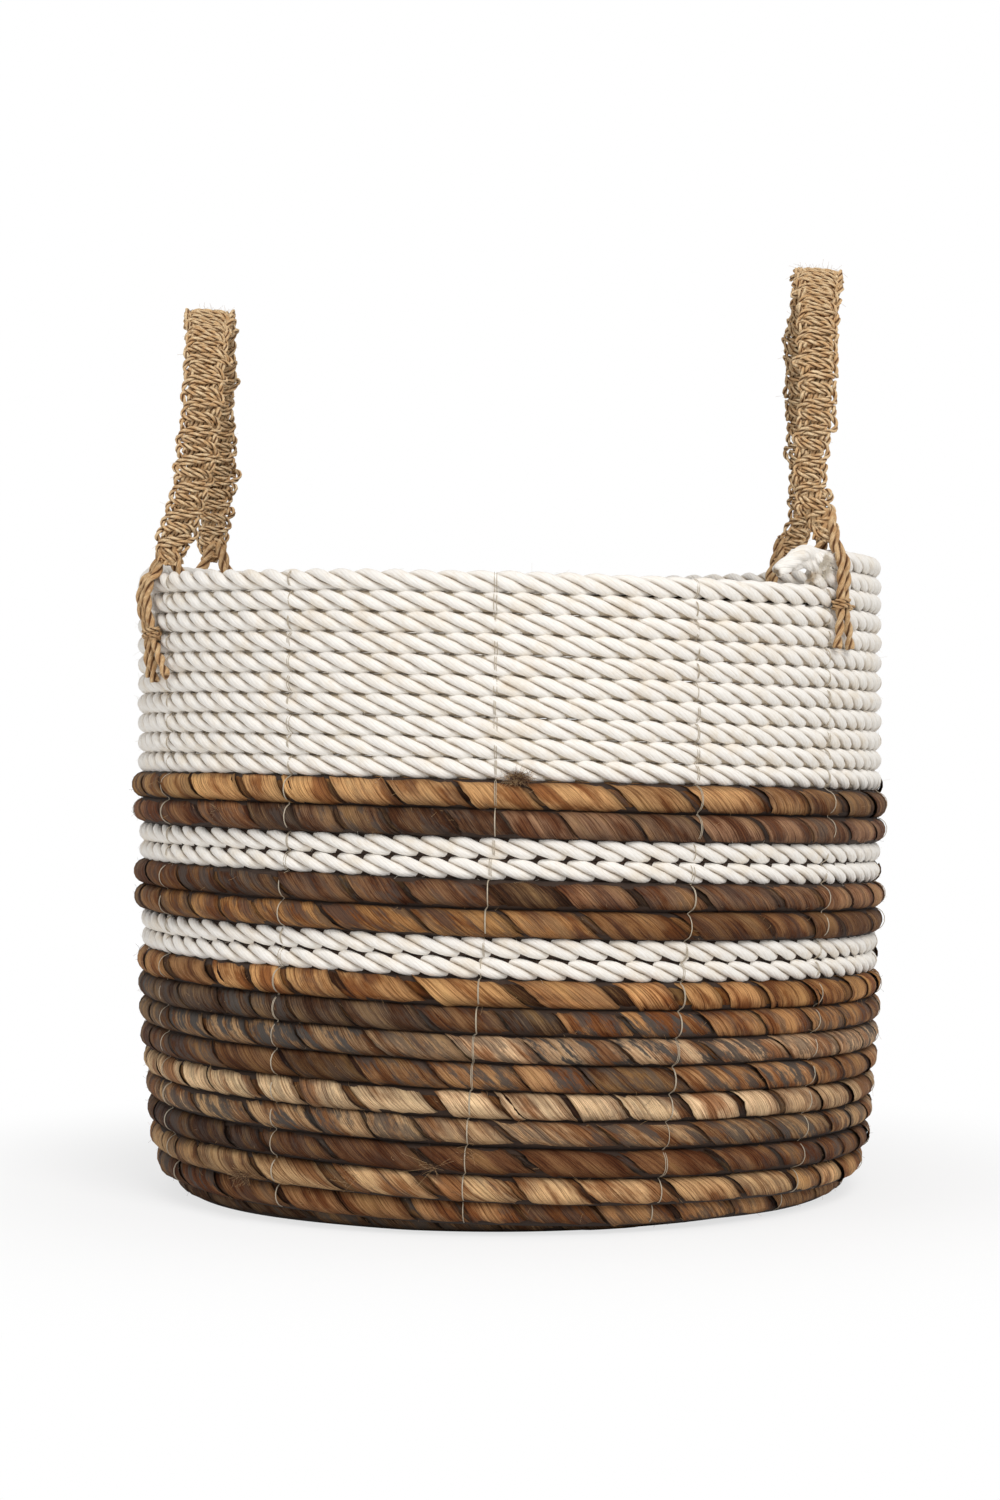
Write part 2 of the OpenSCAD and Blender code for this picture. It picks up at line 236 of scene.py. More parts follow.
def lofted(rings):
    """Faces of a closed tube lofted through rings, an array of rings x points x 3."""
    n, m = rings.shape[:2]
    row = np.arange(n - 1)[:, None] * m
    a, b = row + np.arange(m), row + (np.arange(m) + 1) % m
    quads = np.stack([a, b, b + m, a + m], -1).reshape(-1, 4)
    corner = rings.reshape(-1, 3)[quads.T]
    volume = sum((corner[0] * np.cross(corner[k], corner[k + 1])).sum() for k in (1, 2))
    faces = quads.tolist() + [list(range(m))[::-1], list(range((n - 1) * m, n * m))]
    return [f[::-1] for f in faces] if volume < 0 else faces


def seat(obj, body, slot, *nodes):
    """Puts a finished piece on its body and hides the frame nodes it stands for; its slot is not
    used.
    """
    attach(obj, body)
    if nodes:
        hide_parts(*nodes)


MADE = {}


def once(name, maker):
    """One shared copy of each material, node tree or line read from the frame."""
    if name not in MADE:
        MADE[name] = maker()
    return MADE[name]


# ---------------------------------------------------------------- node trees


def feed(tree, node, inputs):
    """Gives a node's inputs values or other nodes' outputs."""
    for key, value in inputs.items():
        if isinstance(value, bpy.types.NodeSocket):
            tree.links.new(value, node.inputs[key])
        else:
            node.inputs[key].default_value = value


def put(tree, kind, inputs=None, **settings):
    """Adds a node, sets it and feeds its inputs."""
    node = tree.nodes.new(kind)
    for key, value in settings.items():
        setattr(node, key, value)
    feed(tree, node, inputs or {})
    return node


def reckon(tree, operation, a, b=0.0):
    """Result of a sum on one or two values."""
    return put(tree, "ShaderNodeMath", {0: a, 1: b}, operation=operation).outputs[0]


def vectors(tree, operation, a, b=(0, 0, 0)):
    """Result of a sum on one or two vectors, or on a vector and its scale."""
    key = "Scale" if operation == "SCALE" else 1
    node = put(tree, "ShaderNodeVectorMath", {0: a, key: b}, operation=operation)
    return node.outputs["Value" if operation == "LENGTH" else "Vector"]


def stored(tree, geometry, name, value, kind="FLOAT"):
    """Geometry with a value kept on its points under a name."""
    return put(tree, "GeometryNodeStoreNamedAttribute",
               {"Geometry": geometry, "Name": name, "Value": value},
               data_type=kind, domain="POINT").outputs[0]


def open_group(name, kind, inputs, outputs):
    """New node group with named sockets; returns it, its input values and its output node."""
    tree = bpy.data.node_groups.new(name, kind)
    for direction, sockets in (("INPUT", inputs), ("OUTPUT", outputs)):
        for label, (socket_kind, default) in sockets.items():
            socket = tree.interface.new_socket(label, in_out=direction,
                                               socket_type="NodeSocket" + socket_kind)
            if default is not None:
                socket.default_value = default
    return tree, tree.nodes.new("NodeGroupInput").outputs, tree.nodes.new("NodeGroupOutput")


def path_curve(tree, given):
    """The path as a curve of even steps, its normals level or with the least twist."""
    chain = put(tree, "GeometryNodeMeshToCurve", {0: given["Geometry"]})
    even = put(tree, "GeometryNodeResampleCurve",
               {"Curve": chain.outputs[0], "Length": given["Step"]}, mode="LENGTH")
    level, free = (put(tree, "GeometryNodeSetCurveNormal", {"Curve": even.outputs[0]},
                       mode=mode).outputs[0] for mode in ("Z_UP", "MINIMUM_TWIST"))
    return put(tree, "GeometryNodeSwitch", {"Switch": given["Level"], "False": free, "True": level},
               input_type="GEOMETRY").outputs[0]


def strand_offset(tree, given, copy, run):
    """How far a strand's point lies from the path's, turning once round it in each lay."""
    share = reckon(tree, "DIVIDE", copy, given["Strands"])
    turns = reckon(tree, "ADD", reckon(tree, "DIVIDE", run, given["Lay"]), share)
    angle = reckon(tree, "MULTIPLY", turns, TURN)
    normal = put(tree, "GeometryNodeInputNormal").outputs[0]
    tangent = put(tree, "GeometryNodeInputTangent").outputs[0]
    across = vectors(tree, "CROSS_PRODUCT", tangent, normal)
    way = vectors(tree, "ADD", vectors(tree, "SCALE", normal, reckon(tree, "COSINE", angle)),
                  vectors(tree, "SCALE", across, reckon(tree, "SINE", angle)))
    return vectors(tree, "SCALE", way, given["Offset"])


def strand_size(tree, given, copy, run, radius):
    """A strand's size along it, as a share of its width: lumpy, with rounded ends."""
    place = reckon(tree, "ADD", reckon(tree, "DIVIDE", run, given["Strand Width"]),
                   reckon(tree, "MULTIPLY", copy, 31.7))
    uneven = put(tree, "ShaderNodeTexNoise", {"W": place, "Scale": 0.45, "Detail": 1.0},
                 noise_dimensions="1D").outputs["Fac"]
    uneven = reckon(tree, "MULTIPLY", reckon(tree, "SUBTRACT", uneven, 0.5), given["Lumps"])
    whole = put(tree, "GeometryNodeSplineLength").outputs["Length"]
    begun = put(tree, "GeometryNodeSplineParameter").outputs["Length"]
    near = reckon(tree, "MINIMUM", begun, reckon(tree, "SUBTRACT", whole, begun))
    short = reckon(tree, "SUBTRACT", 0.95, reckon(tree, "DIVIDE", near, radius))
    short = reckon(tree, "MAXIMUM", short, 0.0)
    left = reckon(tree, "SUBTRACT", 1.0, reckon(tree, "MULTIPLY", short, short))
    inset = reckon(tree, "SUBTRACT", 1.0, reckon(tree, "SQRT", left))
    return reckon(tree, "SUBTRACT", reckon(tree, "ADD", uneven, 1.0),
                  reckon(tree, "MULTIPLY", inset, given["Rounding"]))


def twisted_cord_tree():
    """Geometry nodes that lay strands round the path given as a chain of edges."""
    tree, given, leave = open_group("Twisted cord", "GeometryNodeTree", {
        "Geometry": ("Geometry", None), "Strands": ("Int", 1), "Offset": ("Float", 0.0),
        "Strand Width": ("Float", 5 * MM), "Lay": ("Float", 1.0), "Start": ("Float", 0.0),
        "Step": ("Float", 2 * MM), "Sides": ("Int", 12), "Level": ("Bool", False),
        "Lumps": ("Float", 0.0), "Rounding": ("Float", 0.0), "Material": ("Material", None),
    }, {"Geometry": ("Geometry", None)})
    strands = put(tree, "GeometryNodeDuplicateElements",
                  {"Geometry": path_curve(tree, given), "Amount": given["Strands"]},
                  domain="SPLINE")
    copy = strands.outputs["Duplicate Index"]
    here = put(tree, "GeometryNodeInputPosition").outputs[0]
    run = reckon(tree, "ADD", put(tree, "GeometryNodeSplineParameter").outputs["Length"],
                 given["Start"])
    radius = reckon(tree, "MULTIPLY", given["Strand Width"], 0.5)
    line = stored(tree, strands.outputs[0], "axis", here, "FLOAT_VECTOR")
    line = stored(tree, line, "along", run)
    line = put(tree, "GeometryNodeSetPosition", {
        "Geometry": line, "Offset": strand_offset(tree, given, copy, run)}).outputs[0]
    line = put(tree, "GeometryNodeSetCurveRadius", {
        "Curve": line, "Radius": strand_size(tree, given, copy, run, radius)}).outputs[0]
    circle = put(tree, "GeometryNodeCurvePrimitiveCircle",
                 {"Resolution": given["Sides"], "Radius": radius})
    ring = stored(tree, circle.outputs[0], "round", vectors(tree, "NORMALIZE", here),
                  "FLOAT_VECTOR")
    tube = put(tree, "GeometryNodeCurveToMesh", {
        "Curve": line, "Profile Curve": ring, "Fill Caps": True,
        "Scale": put(tree, "GeometryNodeInputRadius").outputs[0]}).outputs[0]
    axis = put(tree, "GeometryNodeInputNamedAttribute", {"Name": "axis"},
               data_type="FLOAT_VECTOR").outputs[0]
    reach = vectors(tree, "LENGTH", vectors(tree, "SUBTRACT", here, axis))
    most = reckon(tree, "ADD", given["Offset"], radius)
    # How far out from the cord's axis each point lies; the rope and jute materials paint shade
    # where it is low, between the strands
    tube = stored(tree, tube, "crest", reckon(tree, "DIVIDE", reach, most))
    # The side faces have four neighbours each and are smooth, the cut ends are flat
    corners = put(tree, "GeometryNodeInputMeshFaceNeighbors").outputs["Vertex Count"]
    side = put(tree, "FunctionNodeCompare", {2: corners, 3: 4}, data_type="INT",
               operation="EQUAL").outputs[0]
    tube = put(tree, "GeometryNodeSetShadeSmooth", {"Geometry": tube, "Shade Smooth": side},
               domain="FACE").outputs[0]
    tube = put(tree, "GeometryNodeRemoveAttribute", {"Geometry": tube, "Name": "axis"}).outputs[0]
    tube = put(tree, "GeometryNodeRealizeInstances", {"Geometry": tube}).outputs[0]
    last = put(tree, "GeometryNodeSetMaterial",
               {"Geometry": tube, "Material": given["Material"]})
    tree.links.new(last.outputs[0], leave.inputs[0])
    return tree


def cords(name, paths, material, settings):
    """Lays cords along one or more chains of points and keeps the plain mesh."""
    tree = once("cord tree", twisted_cord_tree)
    host = bpy.data.meshes.new(name + "_path")
    starts = np.cumsum([0] + [len(p) for p in paths])
    edges = [(k, k + 1) for a, b in zip(starts, starts[1:]) for k in range(a, b - 1)]
    host.from_pydata(np.concatenate(paths).tolist(), edges, [])
    carrier = placed(name + "_path", host)
    modifier = carrier.modifiers.new("Build", "NODES")
    modifier.node_group = tree
    sockets = {s.name: s.identifier for s in tree.interface.items_tree if s.in_out == "INPUT"}
    for key, value in {**settings, "Material": material}.items():
        modifier[sockets[key]] = value
    bpy.context.view_layer.update()
    depsgraph = bpy.context.evaluated_depsgraph_get()
    mesh = bpy.data.meshes.new_from_object(
        carrier.evaluated_get(depsgraph), preserve_all_data_layers=True, depsgraph=depsgraph)
    mesh.name = name
    bpy.data.objects.remove(carrier)
    bpy.data.meshes.remove(host)
    if not mesh.polygons:
        raise RuntimeError(f"{name} came out empty")
    return placed(name, mesh)


# ---------------------------------------------------------------- materials


def noise(tree, vector, scale, detail=3.0, roughness=0.55):
    return put(tree, "ShaderNodeTexNoise", {
        "Vector": vector, "Scale": scale, "Detail": detail, "Roughness": roughness}).outputs["Fac"]


def attribute(tree, name, output="Fac"):
    return put(tree, "ShaderNodeAttribute", attribute_name=name).outputs[output]


def object_place(tree):
    return put(tree, "ShaderNodeTexCoord").outputs["Object"]


def spread(tree, value, low, high, to_low=0.0, to_high=1.0):
    return put(tree, "ShaderNodeMapRange",
               {"Value": value, "From Min": low, "From Max": high, "To Min": to_low,
                "To Max": to_high}, interpolation_type="SMOOTHSTEP").outputs["Result"]


def blended(tree, kind, factor, a, b):
    """Mix of two colours, each a socket, a code or three numbers."""
    node = put(tree, "ShaderNodeMix", data_type="RGBA", blend_type=kind)
    for key, value in (("Factor", factor), ("A", a), ("B", b)):
        socket = next(s for s in node.inputs if s.name == key and s.enabled)
        if isinstance(value, bpy.types.NodeSocket):
            tree.links.new(value, socket)
        else:
            socket.default_value = (*(linear(value) if isinstance(value, str) else value), 1.0)
    return next(s for s in node.outputs if s.enabled)


def layered(tree, shown, *layers):
    """Lays colours over a first one: mix, its source, the source's span, shares and colour."""
    for kind, source, low, high, to_low, to_high, code in layers:
        shown = blended(tree, kind, spread(tree, source, low, high, to_low, to_high), shown, code)
    return shown


def bump(tree, strength, distance, height):
    return put(tree, "ShaderNodeBump",
               {"Strength": strength, "Distance": distance, "Height": height}).outputs[0]


def yarn_group():
    """Fine yarns that run round a strand, from the strand's own round and along values."""
    tree, given, leave = open_group(
        "Yarns of a strand", "ShaderNodeTree",
        {"Yarns": ("Float", 9.0), "Pitch": ("Float", 0.045), "Fuzz": ("Float", 0.5)},
        {"Height": ("Float", None), "Painted Groove Shade": ("Float", None), "Streak": ("Float", None)},
    )
    round_ = put(tree, "ShaderNodeSeparateXYZ", {0: attribute(tree, "round", "Vector")}).outputs
    angle = reckon(tree, "DIVIDE", reckon(tree, "ARCTAN2", round_[1], round_[0]), TURN)
    along = attribute(tree, "along")
    turns = reckon(tree, "ADD", angle, reckon(tree, "DIVIDE", along, given["Pitch"]))
    phase = reckon(tree, "MULTIPLY", reckon(tree, "MULTIPLY", turns, given["Yarns"]), math.pi)
    # The ridge is lowest in the grooves between the yarns, where the rope's material paints shade
    ridge = reckon(tree, "ABSOLUTE", reckon(tree, "SINE", phase))
    turned = reckon(tree, "MULTIPLY", turns, TURN)
    place = put(tree, "ShaderNodeCombineXYZ",
                {0: reckon(tree, "COSINE", turned), 1: reckon(tree, "SINE", turned),
                 2: reckon(tree, "MULTIPLY", along, 26.0)}).outputs[0]
    streak = noise(tree, place, 9.0, 4.0, 0.65)
    height = reckon(tree, "ADD", ridge, reckon(tree, "MULTIPLY", streak, given["Fuzz"]))
    feed(tree, leave, {"Height": height, "Painted Groove Shade": ridge, "Streak": streak})
    return tree


def yarns_of(tree, yarns, pitch, fuzz):
    """Height, painted groove shade and streak of the yarns in a strand."""
    return put(tree, "ShaderNodeGroup", {"Yarns": yarns, "Pitch": pitch, "Fuzz": fuzz},
               node_tree=once("yarns", yarn_group)).outputs


def new_material(name):
    material = bpy.data.materials.new(name)
    material.use_nodes = True
    tree = material.node_tree
    return material, tree, tree.nodes["Principled BSDF"]


# Finishes of two near colours: size of the grain, its colours and the roughness
PLAIN_FINISHES = {
    # Painted shade: a darker copy of the rope's colour for its core, which shows only in the gaps
    # between the strands
    "Rope heart in painted shade": (500.0, "a3947f", "cbbda8", 0.9),
    # Partly a real core, its near-black colour painted shade for the gaps between strips, courses
    # and strands
    "Dark core and painted gap shade": (400.0, "1c110a", "3a2617", 0.9),
    "Pale thread": (900.0, "9d8d76", "c4b8a4", 0.35),
    "Rope fibres": (150.0, "ece6da", "d8cbb4", 0.9),
    "Dark bark fibres": (150.0, "3d2617", "5f3f29", 0.9),
    "Light bark fibres": (150.0, "a17c55", "cdac80", 0.9),
}


def plain_material(name):
    grain, dark, light, rough = PLAIN_FINISHES[name]
    material, tree, surface = new_material(name)
    shown = blended(tree, "MIX", noise(tree, object_place(tree), grain), dark, light)
    feed(tree, surface, {"Base Color": shown, "Roughness": rough})
    return material


def plain(name):
    return once(name, lambda: plain_material(name))


def cotton_rope_material():
    sizes = bpy.context.scene.basket_rope
    material, tree, surface = new_material("Cotton rope")
    yarns = yarns_of(tree, 9.0, -0.040, 0.8)
    stain = noise(tree, object_place(tree), 60.0, 4.0, 0.6)
    # Painted shade: the colour darkens from the crests to the gaps between the strands, by how far
    # out a point lies from the rope's axis
    shown = layered(
        tree, blended(tree, "MIX", spread(tree, attribute(tree, "crest"), 0.40, 0.84),
                      tuple(sizes.painted_crevice_shade), tuple(sizes.crest)),
        ("MULTIPLY", stain, 0.45, 0.75, 0.0, 0.55, "efe3cf"),
        # Painted shade in the grooves between the yarns
        ("MULTIPLY", yarns["Painted Groove Shade"], 0.0, 0.4, 0.22, 0.0, "d9cbb4"),
        ("MULTIPLY", yarns["Streak"], 0.3, 0.55, 0.45, 0.0, "e2d8c8"),
    )
    feed(tree, surface, {"Base Color": shown, "Normal": bump(tree, 0.8, 0.18 * MM, yarns["Height"]),
                         "Roughness": 0.88, "Specular IOR Level": 0.25, "Sheen Weight": 0.15})
    return material


def banana_bark_material():
    material, tree, surface = new_material("Banana bark")
    fibre = attribute(tree, "fibre", "Vector")

    def grain(stretch, detail, roughness):
        return noise(tree, vectors(tree, "MULTIPLY", fibre, stretch), 1.0, detail, roughness)

    fine = grain((55, 3000, 370), 4.0, 0.7)
    broad = grain((24, 640, 260), 4.0, 0.65)
    mottle = grain((55, 130, 260), 5.0, 0.7)
    cloud = grain((30, 60, 70), 4.0, 0.6)
    shown = layered(
        tree, attribute(tree, "tint", "Color"),
        ("MULTIPLY", fine, 0.36, 0.52, 0.85, 0.0, "745034"),
        ("SCREEN", fine, 0.50, 0.64, 0.0, 0.5, "866c48"),
        ("MULTIPLY", broad, 0.34, 0.52, 0.75, 0.0, "805c3c"),
        ("MULTIPLY", cloud, 0.38, 0.56, 0.8, 0.0, "96683f"),
        ("SCREEN", cloud, 0.52, 0.70, 0.0, 0.6, "7d5f38"),
    )
    spots = reckon(tree, "MULTIPLY", spread(tree, mottle, 0.46, 0.57, 0.0, 1.25),
                   attribute(tree, "grey"))
    shown = blended(tree, "MIX", spots, shown, blended(tree, "MIX", fine, "292622", "68605a"))
    # Painted shade: darkens towards dark brown by the strips' shade value, at their edges, where
    # the courses meet and on their undersides
    shown = blended(tree, "MULTIPLY", attribute(tree, "shade"), shown, "34190a")
    height = reckon(tree, "ADD", fine, reckon(tree, "MULTIPLY", broad, 1.3))
    feed(tree, surface, {"Base Color": shown, "Normal": bump(tree, 1.0, 0.6 * MM, height),
                         "Roughness": spread(tree, broad, 0.3, 0.7, 0.62, 0.85),
                         "Specular IOR Level": 0.1})
    return material


def jute_material(name, pale, bright):
    material, tree, surface = new_material(name)
    yarns = yarns_of(tree, 7.0, -0.02, 1.2)
    grain = noise(tree, object_place(tree), 240.0, 4.0)
    shown = layered(
        tree, blended(tree, "MIX", spread(tree, grain, 0.35, 0.65), pale, bright),
        # Painted shade: darker brown between the plies, by how far out a point lies from the cord's
        # axis
        ("MULTIPLY", attribute(tree, "crest"), 0.45, 0.85, 0.9, 0.0, "6f4a24"),
        ("MULTIPLY", yarns["Streak"], 0.35, 0.6, 0.7, 0.0, "a0773f"),
    )
    feed(tree, surface, {"Base Color": shown, "Normal": bump(tree, 0.8, 0.3 * MM, yarns["Height"]),
                         "Roughness": 0.8, "Specular IOR Level": 0.3})
    return material


def wire_material():
    material, tree, surface = new_material("Dark iron wire")
    grain = noise(tree, object_place(tree), 700.0, 5.0)
    feed(tree, surface, {"Base Color": blended(tree, "MIX", grain, "3c3733", "5c524b"),
                         "Roughness": spread(tree, grain, 0.3, 0.7, 0.4, 0.65), "Metallic": 0.8})
    return material


# ---------------------------------------------------------------- the coil's line


class CourseLine:
    """Centre line of a wall course, read from its frame node."""

    def __init__(self, node):
        points = node_points(node)
        radius = np.hypot(points[:, 0], points[:, 1])
        polar = np.degrees(np.arctan2(points[:, 1], points[:, 0])) % 360

        def middle(low, high):
            near = radius[(polar > low) & (polar < high)]
            return (near.min() + near.max()) / 2

        self.back_radius = middle(80, 100)
        self.left = middle(182, 200)
        self.right = middle(340, 358)
        self.back = plane_through(points[(polar > 5) & (polar < 175)])
        self.front = plane_through(points[(polar > 185) & (polar < 300)])

    def at(self, degrees):
        """Radius and height at polar angles from the right limb over the back."""
        turned = np.radians(degrees)
        behind = degrees < 180
        middle = (self.left + self.right) / 2
        radius = np.where(behind, self.back_radius,
                          middle + (self.right - self.left) / 2 * np.cos(turned))
        a, b, c = np.where(behind, self.back[:, None], self.front[:, None])
        height = a + b * radius * np.cos(turned) + c * radius * np.sin(turned)
        return radius, height


# Degrees between two points of a coil's line, and points over which two courses join smoothly
STEP_DEGREES = 1.0
JOIN_WINDOW = 27


def coil_line(nodes, lead=0.0):
    """Points along several courses, from lead degrees before the right limb; one a degree."""
    degrees, radius, height = [], [], []
    for k, node in enumerate(nodes):
        course = once("line " + node, lambda: CourseLine(node))
        start = -lead if k == 0 else 0.0
        own = np.arange(start, 360, STEP_DEGREES)
        r, z = course.at(own)
        degrees.append(own + 360 * k)
        radius.append(r)
        height.append(z)
    degrees = np.concatenate(degrees + [[360.0 * len(nodes)]])
    radius = np.concatenate(radius + [radius[-1][-1:]])
    height = np.concatenate(height + [height[-1][-1:]])
    return degrees, smoothed(radius, JOIN_WINDOW), smoothed(height, JOIN_WINDOW)


def along_coil(degrees, radius, height):
    """Points at polar angles in degrees, radii and heights."""
    turned = np.radians(degrees)
    return np.stack([radius * np.cos(turned), radius * np.sin(turned), height], -1)


def bands():
    """Runs of courses of one material from the rim down: kind and node names."""
    runs = []
    for node in WALL_NODES:
        kind = node.split("_")[0]
        if not runs or runs[-1][0] != kind:
            runs.append((kind, []))
        runs[-1][1].append(node)
    return runs


# ---------------------------------------------------------------- rope courses


# Of a rope's core: half width, height as a share of the width, and its finish. The cores show only
# in the gaps between the strands, and their colours are painted shade.
FIRST_HEARTS = ((2.6 * MM, 1.6, "Rope heart in painted shade"), (2.6 * MM, 2.05, "Rope heart in painted shade"))
# The two-course bands' core is painted shadow: near black, seen between the strands
PAIR_HEART = (1.9 * MM, 3.4, "Dark core and painted gap shade")


def stray(draw, start, way, least, most, steps=5):
    """One bent fibre that leaves start in a given direction."""
    curl = draw.normal(0, 0.9, 3)
    run = np.linspace(0, 1, steps)[:, None]
    fibre = start + draw.uniform(least, most) * (unit(way) * run + curl * 0.5 * run * run)
    fibre[:, 2] = np.maximum(fibre[:, 2], HAIR_CLEAR)
    return fibre


def hair_piece(name, hairs, width, finish):
    """Many loose fibres as one piece, thin enough to read as fuzz."""
    return cords(name, hairs, plain(finish),
                 {"Strand Width": width, "Step": 1.4 * MM, "Sides": 3})


def core_tube(name, points, radius, tall, finish, sides=8):
    """Plain tube along every other point of a line, mostly hidden below what is wound on it; where
    it shows through the gaps, its darker colour is painted shade.
    """
    line = points[::2]
    tangent = unit(np.gradient(line, axis=0))
    side = unit(np.cross(tangent, UP))
    lift = np.cross(side, tangent)
    angle = np.arange(sides)[:, None] * TURN / sides
    rings = line[:, None] + radius * (np.cos(angle) * side[:, None]
                                      + tall * np.sin(angle) * lift[:, None])
    rings[..., 2] = np.maximum(rings[..., 2], CLEAR)
    return mesh_object(name, rings.reshape(-1, 3), lofted(rings), plain(finish))


def rope_piece(name, paths, start, **changes):
    """Twisted rope along paths; start is the length of rope that lies before them."""
    sizes = bpy.context.scene.basket_rope
    return cords(name, paths, once("cotton", cotton_rope_material), {
        "Strands": sizes.strands, "Offset": sizes.offset, "Strand Width": sizes.strand_width,
        "Lay": sizes.lay, "Start": start, "Step": sizes.step, "Level": True, "Lumps": 0.35,
        **changes})


# Degrees before the right limb at which the rope starts and folds back
LEAD = 40
# The two-course bands have a slightly thinner rope with its crests above each other
PAIR_ROPE = {"Offset": 3.15 * MM, "Strand Width": 5.75 * MM, "Lay": 46.2 * MM}


class BASKET_OT_rope_courses(bpy.types.Operator):
    """Lay the three-strand rope of each white course"""
    bl_idname = "basket.rope_courses"
    bl_label = "Rope courses"

    def execute(self, context):
        for seed, (kind, nodes) in enumerate(bands()):
            if kind != "rope":
                continue
            first = seed == 0
            lead = LEAD if first else 0
            degrees, radius, height = coil_line(nodes, lead)
            radius = radius + wander(100 + seed, len(radius), 9, 0.25 * MM)
            height = height + wander(200 + seed, len(height), 11, 0.25 * MM)
            points = along_coil(degrees, radius, height)
            run = run_length(points)
            for k, node in enumerate(nodes):
                a = 360 * k + lead if k else 0
                own = points[a:360 * (k + 1) + lead + 1]
                rope = rope_piece(node + "_rope", [own], run[a], **({} if first else PAIR_ROPE))
                seat(rope, "basket", "cotton_rope", node)
                heart = FIRST_HEARTS[min(k, 1)] if first else PAIR_HEART
                seat(core_tube(node + "_heart", own, *heart), "basket", "cotton_rope")
        return {"FINISHED"}


# Strands of the folded end: degrees round the rim, radius and height over the fold's line, mm
FOLD_STRANDS = (
    ((-48.0, 216, -9.0), (-45.5, 218, -3.0), (-43.0, 218.5, 2.6), (-40.0, 218, 2.4),
     (-37.5, 217, 0.0)),
    ((-44.5, 214, -5.0), (-42.0, 215, -1.5), (-39.5, 218, -3.0), (-38.4, 221.5, -6.5)),
    ((-43.5, 212, 0.5), (-41.5, 215, 2.0), (-40.0, 219, 0.8), (-39.3, 223, -1.5)),
)
# Where the folded rope ends, and the length by which its twist is ahead at its start
FOLD_END = 184.5
FOLD_TWIST = 13 * MM
# Where the rope's tail starts to dip into the wall, over how many degrees and how far
TAIL_DIP = (170, 14, 7 * MM)
FRAY_HAIRS = 420


class BASKET_OT_rope_fold(bpy.types.Operator):
    """Lay the rope that folds back over the first course and its frayed fold"""
    bl_idname = "basket.rope_fold"
    bl_label = "Folded rope end"

    def execute(self, context):
        points = node_points("rope_fold_course")
        radius = np.hypot(points[:, 0], points[:, 1])
        a, b, c = plane_through(points)
        r = (radius.min() + radius.max()) / 2
        degrees = np.arange(-LEAD, FOLD_END, STEP_DEGREES)
        turned = np.radians(degrees)
        start, span, fall = TAIL_DIP
        height = a + b * r * np.cos(turned) + c * r * np.sin(turned) \
            - fall * np.clip((degrees - start) / span, 0, 1) ** 2
        path = along_coil(degrees, r + wander(7, len(degrees), 9, 0.3 * MM),
                          height + wander(8, len(degrees), 9, 0.2 * MM))
        rope = rope_piece("rope_fold_course_rope", [path], FOLD_TWIST, Rounding=0.8)
        seat(rope, "basket", "cotton_rope", "rope_fold_course")
        strands = [curve_through(along_coil(polar, reach * MM, height[0] + rise * MM))
                   for polar, reach, rise in (np.array(s, float).T for s in FOLD_STRANDS)]
        end = rope_piece("rope_fold_end_strands", strands, 0.0, **{
            "Level": False, "Strands": 4, "Offset": 2.1 * MM, "Strand Width": 4.7 * MM,
            "Lay": 34 * MM, "Step": 1.2 * MM, "Rounding": 1.0})
        seat(end, "basket", "cotton_rope", "rope_fold_end")
        draw = np.random.default_rng(41)
        hairs = []
        for strand in strands:
            tip, way = strand[-1], unit(strand[-1] - strand[-3])
            for _ in range(FRAY_HAIRS):
                aside = draw.normal(0, 2.0 * MM, 3)
                start = tip + aside - way * (aside @ way + 0.5 * MM)
                hairs.append(stray(draw, start, way + draw.normal(0, 0.5, 3), 0.8 * MM, 3.2 * MM))
        seat(hair_piece("rope_fold_end_fray", hairs, 0.22 * MM, "Rope fibres"),
             "basket", "cotton_rope")
        return {"FINISHED"}


# ---------------------------------------------------------------- bark courses


# Of each bark course from the top: main colours in order along the front from the left,
# colours of the second strip, greyness, edge lift and share of a turn that the main strip takes
BARK_LOOKS = [
    (("a07845", "f2bb7e", "b08459", "8b6544"), ("4a2e1a", "6e4526", "8c5c30"), 0.35, 1.0, 0.87),
    (("a8724a", "5c4331", "9d765a", "7b5a44"), ("4a3122", "8a6242"), 0.40, 0.5, 0.93),
    (("845934", "624630", "966a4c", "c4946b"), ("3a2415", "6d4a2c"), 0.50, 0.7, 0.92),
    (("7e5a38", "bd8954", "9b6d46", "5f422b"), ("4a2c1b", "8b5f36"), 0.35, 0.7, 0.90),
    (("986c47", "d29f68", "cc945f", "b4824b"), ("4a2d18", "8c5a2a"), 0.20, 1.2, 0.86),
    (("7a604a", "5a4535", "c48d5a", "7c5f47"), ("3a2d20", "6d4c2c"), 0.62, 0.7, 0.95),
    (("a4835f", "9c7c5e", "ecc59a", "c49a72"), ("57422e", "8a5f36"), 0.60, 0.6, 0.95),
    (("825c3d", "614127", "ca9768", "a5774b"), ("43261a", "6c4528"), 0.55, 0.9, 0.92),
    (("e6c496", "ecca9e", "f0cba0", "d2ab7e"), ("5a3b22", "7a5230"), 0.25, 1.2, 0.89),
    (("b38c63", "c7a37b", "b9946c", "c39b71"), ("5b4430", "7a5638"), 0.58, 0.8, 0.93),
    (("563722", "462b1f", "8d5f3d", "82593a"), ("2c170d", "6a4428"), 0.50, 1.0, 0.92),
    (("8d633a", "f0c894", "e6b986", "b98854"), ("563720", "7a5030"), 0.30, 1.1, 0.88),
    (("825a3b", "aa7a50", "c09062", "9c7552"), ("452818", "744d2e"), 0.52, 1.0, 0.91),
    (("7a5f46", "70553f", "8f7050", "7d5f42"), ("3b281a", "5e4028"), 0.55, 0.8, 0.93),
]
